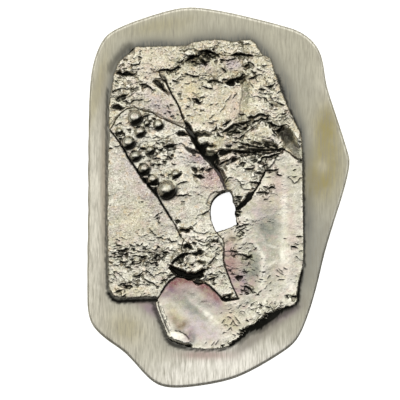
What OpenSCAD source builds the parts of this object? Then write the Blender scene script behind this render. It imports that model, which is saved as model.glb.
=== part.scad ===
// Pendant brooch: a smooth silver back plate that carries a relief of torn and melted silver sheet.
// It lies face up on the fittings of its back. X runs across, Y up along the brooch, Z up.

/* [Back plate] */
// Thickness of the back plate
plate_t = 1.4; // [1.2:0.1:1.8]
// Width of the soft rounded rim at the face
rim_w = 1.1; // [0.6:0.1:1.4]
// Height of the rounding at the face
rim_h = 0.8; // [0.4:0.1:0.9]
// Chamfer along the back edge
back_edge = 0.3; // [0.1:0.05:0.4]

/* [Relief] */
// Gap between neighbouring sheets, and under them
seam = 0.06; // [0.04:0.02:0.1]
// Spacing of the points that carry a sheet's folds
fold_step = 1.3; // [1.2:0.1:1.8]
// Height of the low sheet and the polished dish above the plate
base_rise = 0.85; // [0.7:0.05:1.1]
// Height of the long left sheet above the plate
left_rise = 1.25; // [1.0:0.05:1.5]
// Height of the upper left sheet above the plate
top_rise = 1.25; // [1.0:0.05:1.5]
// Height of the band with the melted balls above the plate
strip_rise = 0.95; // [0.8:0.05:1.2]
// Height of the crest sheet above the plate
crest_rise = 1.75; // [1.4:0.05:2.0]
// Height of the flap above the window
flap_rise = 1.2; // [1.0:0.05:1.4]

/* [Fittings on the back] */
// Height of the fittings, which is the gap between the plate and a table
fitting_h = 2.6; // [2.4:0.1:3.2]
// Bore of the tube that a chain runs through
bail_bore = 1.6; // [1.2:0.1:1.8]
// Outer diameter of that tube
bail_od = 2.5; // [2.3:0.1:2.6]
// Length of that tube
bail_l = 8; // [6:0.5:10]
// Place of that tube along the brooch
bail_y = 24; // [22:0.5:25]
// Diameter of the pin stem
stem_d = 1.0; // [0.8:0.1:1.2]

/* [Hidden] */
$fn = 32;

plate_z = fitting_h;
face_z = plate_z + plate_t;
sheet_z = face_z + seam;
over = 1;
relief_room = 4;
rim_steps = 5;
curve_steps = 3;

// Corners and turning points of the plate, clockwise from the top, joined by a smooth curve
plate_points = [
    // x, y
    [-4.6, 30.0], [0.4, 29.4], [5.4, 28.3], [10.4, 27.0], [13.1, 26.0], [15.3, 24.1], [16.4, 21.6],
    [17.0, 17.7], [18.6, 12.7], [20.2, 7.7], [20.65, 5.4], [19.8, 1.4], [18.2, -3.7], [16.7, -8.7],
    [15.5, -13.7], [14.1, -18.4], [12.2, -22.5], [9.0, -25.0], [4.4, -27.6], [0.8, -28.9], [-4.6, -29.8],
    [-8.4, -29.8], [-10.9, -28.5], [-14.6, -24.5], [-18.4, -21.7], [-20.4, -18.8], [-20.65, -13.0],
    [-20.5, -2.0], [-20.45, 10.0], [-20.1, 19.0], [-18.7, 24.0], [-16.3, 26.5], [-9.4, 29.05]
];

// Window through the plate
window_points = [
    // x, y
    [1.7, 0.9], [2.0, 0.5], [2.2, -0.7], [2.55, -2.6], [2.85, -4.2], [1.7, -4.75], [0.6, -5.1],
    [-0.3, -5.4], [-0.9, -4.2], [-1.15, -3.0], [-1.2, -2.0], [-1.05, -1.1], [-0.6, -0.3], [0.1, 0.3],
    [0.9, 0.7]
];

// Seams between the sheets, each from its upper or left end
seam_left_strip = [
    // x, y
    [-17.2, 10.6], [-16.5, 10.0], [-15.7, 8.7], [-14.8, 7.4], [-13.9, 5.9], [-12.9, 4.5], [-12.0, 3.3],
    [-10.9, 1.8], [-9.6, 0.2], [-8.9, -1.0], [-8.2, -2.2], [-7.4, -3.4], [-6.7, -4.6], [-6.1, -5.9],
    [-5.5, -6.7], [-5.8, -7.8], [-5.7, -8.9], [-7.0, -10.0], [-7.6, -11.0], [-7.1, -11.7], [-6.6, -12.3]
];
seam_top_strip = [
    // x, y
    [-17.2, 10.6], [-16.7, 11.1], [-16.2, 12.2], [-15.5, 13.1], [-14.6, 13.9], [-13.2, 14.2],
    [-11.8, 13.7], [-10.6, 13.4], [-9.6, 12.8], [-8.0, 12.1], [-6.5, 11.4], [-5.3, 10.9]
];
seam_top_crest = [
    // x, y
    [7.1, 22.2], [6.0, 22.2], [4.6, 22.35], [3.2, 22.45], [2.2, 22.3], [1.2, 22.2], [0.2, 22.4],
    [-1.2, 22.7], [-2.6, 22.6], [-3.6, 22.1], [-4.8, 21.6], [-5.8, 20.9], [-6.8, 20.5], [-8.0, 20.1],
    [-9.3, 20.0], [-9.1, 19.0], [-8.3, 18.2], [-7.8, 17.2], [-7.2, 16.0], [-6.6, 15.1], [-6.1, 14.0],
    [-5.8, 13.0], [-5.4, 12.1], [-4.9, 11.3], [-5.3, 10.9]
];
seam_strip_base = [
    // x, y
    [0.1, -6.0], [0.7, -6.6], [0.9, -7.3], [0.7, -8.6], [0.7, -9.8], [1.0, -10.9], [1.5, -12.3],
    [2.1, -13.8], [2.7, -15.0], [3.1, -15.8], [2.0, -15.9], [0.9, -16.0], [0.3, -15.5], [-0.4, -14.8],
    [-1.2, -13.9], [-2.2, -13.4], [-3.4, -13.4], [-4.2, -12.9], [-5.4, -12.5], [-6.6, -12.3]
];
seam_left_dish = [
    // x, y
    [-6.6, -12.3], [-7.6, -12.9], [-8.3, -13.8], [-9.0, -14.9], [-9.5, -15.7]
];
seam_crest_flap = [
    // x, y
    [0.1, 7.5], [1.2, 7.6], [2.5, 7.5], [4.0, 7.3], [5.5, 7.4], [7.5, 7.5], [9.0, 7.5], [10.2, 7.7]
];
seam_crest_base = [
    // x, y
    [10.2, 7.7], [11.3, 6.9], [12.3, 6.1], [13.15, 6.0]
];
seam_flap_base = [
    // x, y
    [10.2, 7.7], [9.6, 7.0], [8.6, 6.8], [7.6, 6.3], [7.0, 5.3], [7.3, 4.2]
];

// Free edges of the sheets
left_edge = [
    // x, y
    [-9.5, -15.7], [-11.5, -15.6], [-13.5, -15.8], [-15.3, -15.9], [-16.5, -15.4], [-17.2, -14.5],
    [-17.45, -13.0], [-17.5, -5.0], [-17.4, 4.0]
];
top_edge = [
    // x, y
    [-17.3, 13.0], [-17.2, 15.0], [-16.8, 17.4], [-16.4, 19.5], [-15.9, 21.0], [-15.0, 22.0],
    [-14.2, 22.6], [-13.6, 23.4], [-12.9, 23.75], [-10.0, 23.75], [-7.3, 23.85], [-5.2, 23.9],
    [-4.2, 24.3], [-2.5, 24.7], [0.8, 24.85], [2.2, 24.4], [3.6, 24.75], [5.1, 24.85], [5.8, 24.3],
    [6.2, 23.5], [6.7, 22.7]
];
strip_edge = [
    // x, y
    [-4.7, 10.3], [-4.1, 9.6], [-3.8, 8.8], [-3.2, 8.1], [-2.8, 7.2], [-2.2, 6.2], [-1.5, 5.5],
    [-0.9, 4.8], [-0.2, 4.0], [0.3, 3.0], [0.8, 1.9], [1.2, 1.05], [0.4, 1.0], [-0.5, 0.9],
    [-1.3, 0.5], [-1.75, -0.2], [-1.85, -0.9], [-1.4, -1.5], [-1.25, -2.2], [-1.15, -3.2],
    [-0.9, -4.3], [-0.35, -5.4]
];
crest_right_edge = [
    // x, y
    [13.15, 7.6], [13.0, 9.2], [12.7, 10.4], [12.1, 11.6], [11.4, 13.1], [10.7, 14.7], [10.0, 16.4],
    [9.4, 18.0], [8.8, 19.7], [8.4, 21.2], [8.0, 22.0]
];
crest_left_edge = [
    // x, y
    [-4.7, 10.9], [-4.1, 10.2], [-3.6, 9.5], [-3.3, 8.8], [-2.6, 8.0], [-1.6, 7.5], [-0.5, 7.2]
];
flap_left_edge = [
    // x, y
    [7.0, 3.9], [6.8, 3.2], [6.4, 2.4], [6.0, 1.6], [5.6, 1.0], [4.8, 0.8], [4.2, 0.2], [3.7, -0.2],
    [3.3, 0.15], [2.6, 0.1], [2.1, 0.4], [1.9, 0.9], [1.5, 1.5], [1.15, 2.5], [1.0, 3.4], [0.6, 4.4],
    [0.2, 5.3], [0.0, 6.2]
];
base_inner_edge = [
    // x, y
    [7.1, 3.3], [6.8, 2.6], [6.4, 1.7], [5.9, 0.8], [5.3, 0.2], [4.8, -0.3], [4.3, -0.9], [3.7, -1.5],
    [2.9, -1.7], [2.45, -2.1], [2.6, -3.0], [2.85, -4.2], [1.7, -4.75], [0.6, -5.1], [-0.25, -5.4]
];
base_outer_edge = [
    // x, y
    [-9.6, -16.2], [-9.1, -17.5], [-8.5, -19.0], [-7.9, -20.5], [-7.6, -21.3], [-7.7, -22.2],
    [-6.8, -22.8], [-5.6, -23.2], [-4.4, -23.6], [-3.0, -23.75], [-1.0, -23.8], [0.5, -23.7],
    [1.6, -23.3], [2.6, -22.5], [3.5, -21.8], [4.3, -20.9], [4.9, -20.3], [5.9, -19.8], [6.6, -19.0],
    [7.6, -18.3], [8.4, -17.8], [9.4, -17.3], [10.6, -17.0], [11.6, -16.7], [12.3, -16.2],
    [12.35, -15.0], [12.6, -13.3], [13.0, -11.7], [13.3, -10.8], [13.4, -8.0], [13.35, -4.0],
    [13.25, 1.0]
];

// Folds of each sheet: a soft ridge or hollow at a place, turned by an angle
base_folds = [
    // x, y, turn, half length, half width, rise
    [-3.2, -18.6, -60, 5.5, 3.6, -0.35],
    [-8.6, -18.6, -68, 4.0, 0.7, 0.25],
    [-6.2, -22.1, -22, 1.6, 0.8, 0.35],
    [-1.0, -23.3, 4, 3.5, 0.7, 0.2],
    [6.0, -9.6, -75, 4.0, 1.1, 0.2],
    [3.3, -9.0, -10, 1.8, 0.9, -0.3],
    [3.2, -12.2, -10, 1.5, 0.8, -0.3],
    [5.4, -19.6, 38, 5.0, 1.2, 0.4],
    [10.4, -16.6, 12, 2.6, 1.0, 0.4],
    [9.0, -3.5, 80, 5.0, 2.2, -0.15],
    [12.4, -2.0, 90, 8.0, 0.8, 0.15],
    [6.9, 0.9, 60, 2.4, 0.8, 0.15],
    [2.8, -5.3, 20, 1.6, 0.8, 0.15]
];
left_folds = [
    // x, y, turn, half length, half width, rise
    [-13.3, -14.8, 0, 4.2, 0.8, 0.2],
    [-13.2, -13.4, -5, 4.0, 0.7, -0.15],
    [-12.5, -8.9, 0, 5.0, 2.2, -0.15],
    [-14.0, 1.0, 70, 9.0, 2.0, 0.1],
    [-9.8, -2.6, -55, 6.0, 0.9, -0.1],
    [-7.9, -11.6, -60, 1.6, 0.9, 0.15]
];
top_folds = [
    // x, y, turn, half length, half width, rise
    [-14.6, 19.5, -6, 1.8, 0.7, -0.45],
    [-14.8, 17.0, 10, 2.4, 0.8, 0.15],
    [-16.0, 14.2, -4, 1.4, 0.7, -0.4],
    [-14.6, 15.3, 8, 2.0, 0.7, -0.25],
    [-9.6, 18.0, -42, 1.6, 0.8, -0.45],
    [-10.4, 15.4, -20, 3.4, 1.6, -0.15],
    [-11.5, 21.6, 0, 3.2, 1.6, 0.15],
    [-0.5, 24.0, 0, 4.0, 1.0, 0.15]
];
strip_folds = [
    // x, y, turn, half length, half width, rise
    [-4.2, -10.6, -8, 2.9, 1.5, 0.95],
    [-4.6, -8.3, 4, 2.4, 0.7, -0.15],
    [0.8, -14.2, -62, 2.6, 1.0, 0.35],
    [-3.0, -5.2, 0, 3.4, 1.2, 0.1],
    [-6.0, 7.6, -50, 2.8, 1.4, 0.2],
    [-1.8, 4.2, -45, 2.4, 1.2, -0.2],
    [-9.6, 8.0, -30, 3.0, 1.6, -0.1],
    [-4.4, 1.0, -60, 3.6, 1.6, 0.15]
];
crest_folds = [
    // x, y, turn, half length, half width, rise
    [4.8, 13.3, 14, 4.6, 1.0, 0.35],
    [6.8, 10.5, -6, 2.6, 1.4, 0.45],
    [3.2, 10.9, 20, 2.6, 0.7, -0.35],
    [6.4, 8.4, -4, 3.4, 0.6, -0.45],
    [11.0, 9.0, -60, 2.4, 0.9, -1.0],
    [12.6, 9.0, -66, 2.6, 0.6, 0.25],
    [-1.6, 10.0, 0, 2.0, 0.6, -0.3],
    [2.0, 18.3, 20, 1.4, 0.6, -0.3],
    [4.2, 16.6, 88, 2.4, 0.8, -0.3],
    [-1.0, 15.0, 10, 3.6, 2.4, 0.15],
    [-6.0, 17.6, -60, 2.2, 0.9, -0.2],
    [3.0, 21.7, 0, 5.0, 0.6, -0.2]
];
flap_folds = [
    // x, y, turn, half length, half width, rise
    [3.6, 3.4, -10, 2.4, 1.6, 0.15],
    [2.0, 6.2, 30, 1.6, 0.6, -0.3],
    [6.0, 6.6, 10, 2.4, 0.6, -0.2],
    [2.4, 1.0, -60, 1.4, 0.8, -0.35]
];

// Melted balls on the band: centre, diameter, and how far their centre lies above the band
granules = [
    // x, y, diameter, lift
    [-13.15, 12.6, 2.35, 0.5],
    [-12.4, 10.4, 1.8, 0.35],
    [-14.15, 8.7, 2.1, 0.35],
    [-13.1, 6.6, 1.8, 0.3],
    [-11.75, 4.6, 1.9, 0.15],
    [-10.4, 2.95, 1.7, 0.15],
    [-8.2, 1.35, 2.95, 0.75],
    [-9.5, 11.5, 1.7, 0.05],
    [-11.3, 11.7, 1.0, 0.2],
    [-15.6, 10.5, 1.1, 0.15],
    [-10.8, 7.5, 1.4, 0.05],
    [-6.8, 3.8, 1.4, 0.05]
];

// Places of the pin: hinge at its upper end, catch at its lower end
hinge_at = [-10, 17];
catch_at = [0.5, -20.5];
hinge_w = 3.2;
hinge_l = 2.4;
catch_w = 3.4;
catch_l = 2.0;
pad_t = 0.5;
pad_l = 4;
stem_z = 1.15;
stem_tip = 2.2;
hook_wall = 0.7;
stem_seat = 0.2;

pin_run = catch_at - hinge_at;
pin_len = norm(pin_run);
pin_turn = atan2(pin_run[1], pin_run[0]);
silver = "silver";
patina = "tan";

// Smooth closed curve through the points (Catmull-Rom)
function along(p, i, t) =
    let (n = len(p), a = p[(i + n - 1) % n], b = p[i], c = p[(i + 1) % n], d = p[(i + 2) % n])
    0.5 * (2 * b + (c - a) * t + (2 * a - 5 * b + 4 * c - d) * t * t
        + (3 * b - a - 3 * c + d) * t * t * t);

function smooth_loop(p, steps) =
    [for (i = [0 : len(p) - 1], s = [0 : steps - 1]) along(p, i, s / steps)];

function reversed(p) = [for (i = [len(p) - 1 : -1 : 0]) p[i]];

// A clockwise loop moved inwards by a distance
function inset(p, by) =
    let (n = len(p))
    [for (i = [0 : n - 1])
        let (run = p[(i + 1) % n] - p[(i + n - 1) % n], side = [run[1], -run[0]] / norm(run))
        p[i] + by * side];

// Height that one fold adds at a point
function fold_rise(f, x, y) =
    let (dx = x - f[0], dy = y - f[1],
         u = (dx * cos(f[2]) + dy * sin(f[2])) / f[3],
         v = (dy * cos(f[2]) - dx * sin(f[2])) / f[4],
         r = u * u + v * v)
    r > 6 ? 0 : f[5] * exp(-r);

function folds_rise(folds, x, y, i = 0) =
    i == len(folds) ? 0 : fold_rise(folds[i], x, y) + folds_rise(folds, x, y, i + 1);

// Solid under a folded surface, larger than the sheet on every side
module folded_block(outline, rise, folds) {
    xs = [for (p = outline) p[0]];
    ys = [for (p = outline) p[1]];
    x0 = min(xs) - over / 2;
    y0 = min(ys) - over / 2;
    nx = ceil((max(xs) + over / 2 - x0) / fold_step);
    ny = ceil((max(ys) + over / 2 - y0) / fold_step);
    row = nx + 1;
    top = [for (j = [0 : ny], i = [0 : nx])
        let (x = x0 + i * fold_step, y = y0 + j * fold_step)
        [x, y, face_z + rise + folds_rise(folds, x, y)]];
    low = [for (p = top) [p[0], p[1], face_z - over]];
    n = len(top);
    faces = concat(
        [for (j = [0 : ny - 1], i = [0 : nx - 1]) let (a = j * row + i) [a, a + row, a + row + 1]],
        [for (j = [0 : ny - 1], i = [0 : nx - 1]) let (a = j * row + i) [a, a + row + 1, a + 1]],
        [for (j = [0 : ny - 1], i = [0 : nx - 1]) let (a = n + j * row + i) [a, a + row + 1, a + row]],
        [for (j = [0 : ny - 1], i = [0 : nx - 1]) let (a = n + j * row + i) [a, a + 1, a + row + 1]],
        [for (i = [0 : nx - 1]) [i, i + 1, n + i + 1, n + i]],
        [for (i = [0 : nx - 1]) let (a = ny * row + i) [a + 1, a, n + a, n + a + 1]],
        [for (j = [0 : ny - 1]) let (a = j * row) [a + row, a, n + a, n + a + row]],
        [for (j = [0 : ny - 1]) let (a = j * row + nx) [a, a + row, n + a + row, n + a]]
    );
    polyhedron(concat(top, low), faces);
}

// A sheet with its outline, standing just clear of the plate and of its neighbours
module sheet(outline, rise, folds) {
    intersection() {
        translate([0, 0, sheet_z])
            linear_extrude(relief_room)
                offset(delta = -seam / 2) polygon(outline);
        folded_block(outline, rise, folds);
    }
}

module back_plate() {
    loop = smooth_loop(plate_points, curve_steps);
    n = len(loop);
    // Rings from the back edge up the side and round the rim to the face
    rings = concat(
        [[back_edge, 0], [0, back_edge]],
        [for (k = [0 : rim_steps])
            let (a = 90 * k / rim_steps)
            [rim_w * (1 - cos(a)), plate_t - rim_h + rim_h * sin(a)]]
    );
    points = [for (r = rings, p = inset(loop, r[0])) [p[0], p[1], plate_z + r[1]]];
    sides = [for (k = [0 : len(rings) - 2], i = [0 : n - 1], half = [0, 1])
        let (a = k * n + i, b = k * n + (i + 1) % n)
        half == 0 ? [a, b + n, b] : [a, a + n, b + n]];
    last = (len(rings) - 1) * n;
    faces = concat(sides, [[for (i = [0 : n - 1]) i]], [[for (i = [n - 1 : -1 : 0]) last + i]]);
    color(silver)
    difference() {
        polyhedron(points, faces);
        translate([0, 0, plate_z - over])
            linear_extrude(plate_t + 2 * over) polygon(window_points);
    }
}

module base_sheet() {
    outline = concat(seam_flap_base, base_inner_edge, seam_strip_base, seam_left_dish,
        base_outer_edge, reversed(seam_crest_base));
    color(silver) sheet(outline, base_rise, base_folds);
}

module left_sheet() {
    outline = concat(seam_left_strip, seam_left_dish, left_edge);
    color(silver) sheet(outline, left_rise, left_folds);
}

module top_sheet() {
    outline = concat(reversed(seam_top_strip), top_edge, seam_top_crest);
    color(patina) sheet(outline, top_rise, top_folds);
}

module granule_strip() {
    outline = concat(seam_top_strip, strip_edge, seam_strip_base, reversed(seam_left_strip));
    color(silver)
    union() {
        sheet(outline, strip_rise, strip_folds);
        for (g = granules)
            translate([g[0], g[1], face_z + strip_rise + g[3]]) sphere(d = g[2]);
    }
}

module crest_sheet() {
    outline = concat(reversed(seam_top_crest), reversed(crest_right_edge), reversed(seam_crest_base),
        reversed(seam_crest_flap), reversed(crest_left_edge));
    color(patina) sheet(outline, crest_rise, crest_folds);
}

module middle_flap() {
    outline = concat(seam_crest_flap, seam_flap_base, flap_left_edge);
    color(silver) sheet(outline, flap_rise, flap_folds);
}

// Hinge block, tapered stem and hooked catch, all of one piece
module pin_finding() {
    top = plate_z - seam;
    color(silver)
    translate([hinge_at[0], hinge_at[1], 0]) rotate([0, 0, pin_turn]) {
        translate([-hinge_l / 2, -hinge_w / 2, 0]) cube([hinge_l, hinge_w, top]);
        translate([-pad_l / 2, -pad_l / 2, top - pad_t]) cube([pad_l, pad_l, pad_t]);
        translate([0, 0, stem_z]) rotate([0, 90, 0]) cylinder(h = pin_len + stem_tip, d = stem_d);
        translate([pin_len - catch_l / 2, 0, 0]) {
            translate([-1, -catch_w / 2, top - pad_t]) cube([pad_l, catch_w, pad_t]);
            translate([0, -catch_w / 2, 0]) cube([catch_l, catch_w, stem_z - stem_d / 2 + stem_seat]);
            translate([0, -catch_w / 2, 0]) cube([catch_l, hook_wall, top]);
        }
    }
}

module bail() {
    top = plate_z - seam;
    color(silver)
    difference() {
        union() {
            translate([-bail_l / 2, bail_y, bail_od / 2]) rotate([0, 90, 0])
                cylinder(h = bail_l, d = bail_od);
            translate([-bail_l / 2 + 1, bail_y - bail_od / 2, bail_od / 2])
                cube([bail_l - 2, bail_od, top - bail_od / 2]);
        }
        translate([-bail_l / 2 - over, bail_y, bail_od / 2]) rotate([0, 90, 0])
            cylinder(h = bail_l + 2 * over, d = bail_bore);
    }
}

back_plate();
base_sheet();
left_sheet();
top_sheet();
granule_strip();
crest_sheet();
middle_flap();
pin_finding();
bail();
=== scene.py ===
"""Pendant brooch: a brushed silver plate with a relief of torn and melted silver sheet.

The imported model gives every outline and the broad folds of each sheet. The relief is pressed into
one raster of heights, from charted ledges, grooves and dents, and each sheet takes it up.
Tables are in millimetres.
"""
import math

import bpy
import numpy as np
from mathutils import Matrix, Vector
from mathutils.bvhtree import BVHTree


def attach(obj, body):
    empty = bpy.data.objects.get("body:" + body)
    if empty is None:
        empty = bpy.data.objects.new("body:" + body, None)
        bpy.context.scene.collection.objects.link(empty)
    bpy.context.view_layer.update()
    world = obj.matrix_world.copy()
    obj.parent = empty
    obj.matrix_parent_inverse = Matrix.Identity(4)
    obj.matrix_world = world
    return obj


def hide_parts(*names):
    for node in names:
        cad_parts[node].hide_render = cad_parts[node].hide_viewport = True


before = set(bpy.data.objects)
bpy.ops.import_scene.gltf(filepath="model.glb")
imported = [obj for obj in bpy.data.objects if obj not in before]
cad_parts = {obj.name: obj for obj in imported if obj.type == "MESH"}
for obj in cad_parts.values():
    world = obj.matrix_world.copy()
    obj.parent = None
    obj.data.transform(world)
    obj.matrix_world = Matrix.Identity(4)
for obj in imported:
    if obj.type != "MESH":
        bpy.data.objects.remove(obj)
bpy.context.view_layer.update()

MM = 0.001

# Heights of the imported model
PLATE_LOW = 2.6
PLATE_FACE = 4.0
SHEET_LOW = 4.06
BALL_TOP = 7.17

# Rasters of the relief, of a sheet's broad shape, and of the plate
LEFT, LOW, RIGHT, TOP = -18.6, -24.8, 14.6, 25.8
STEP = 0.05
COARSE = 0.25
# Reach of a sheet's smoothing and of the filling beside it, in steps of COARSE
BROAD_BLUR, FILL_BLUR = 2.4, 8
# What counts as near a place and as wider round it, in steps of the relief
NEARBY, WIDER = 5, 13
PLATE_LEFT, PLATE_BOTTOM, PLATE_RIGHT, PLATE_TOP = -22, -31.5, 22, 31.5
PLATE_STEP = 0.2

# Sheets: cells of their meshes, tarnish and painted shade at their foot, roundness of their border along
# a seam
CELL = 0.08
SAME_PLACE = 0.004 * MM
LEAST_RISE = 0.1
SHEET_CREASE = 60
# Share of a ball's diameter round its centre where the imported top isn't the band's own
BALL_REACH = 0.55
# A height above everything, and how far apart two heights still count as one
ABOVE = 20
LEVEL = 0.02
FOOT_TARNISH_AND_SHADE = 0.45
SEAM_ROUND = 0.12
SHEETS = {
    # finish, roundness of the free border
    "top_sheet": ("cream_silver", 0.25),
    "crest_sheet": ("cream_silver", 0.3),
    "granule_strip": ("grey_silver", 0.3),
    "middle_flap": ("grey_silver", 0.3),
    "left_sheet": ("grey_silver", 0.32),
    "base_sheet": ("polished_silver", 0.25),
}

# Plate: the middle of its window, corners and rings of its mesh, its rim and back edge
CENTRE = (0.8, -2.3)
AROUND = 480
RIM_RINGS = 13
FACE_RINGS = 84
RIM_W = 0.6
RIM_H = 0.5
BACK_EDGE = 0.3
WINDOW_REACH = 6
PLATE_CREASE = 40
# The window's corner kept free of painted shade: x, y, half length, half width, turn
UNSHADED_CORNER = (-0.9, 0.1, 1.9, 1.1, 45)

# Depth of the finest grain, in metres
GRAIN_DEPTH = 0.00001
FITTING_GRAIN_DEPTH = 0.00004

# The photograph is 400 pixels across, and 381.5 of them are the plate's 60 mm
FRAME_W = 400 * 60 / 381.5
FILM_W = 36
LENS = 200
VIEW_X, VIEW_Y = -2.925, -0.354

# Width, height and black of a ledge, the black being painted shade under its lip
FINE = (0.085, 0.05, 0.75)
PLAIN = (0.125, 0.14, 0.95)
DEEP = (0.18, 0.26, 1.0)
TORN = (0.30, 0.45, 1.0)
LIP_RUN = 1.2
HOLLOW_RUN = 2.2
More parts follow.
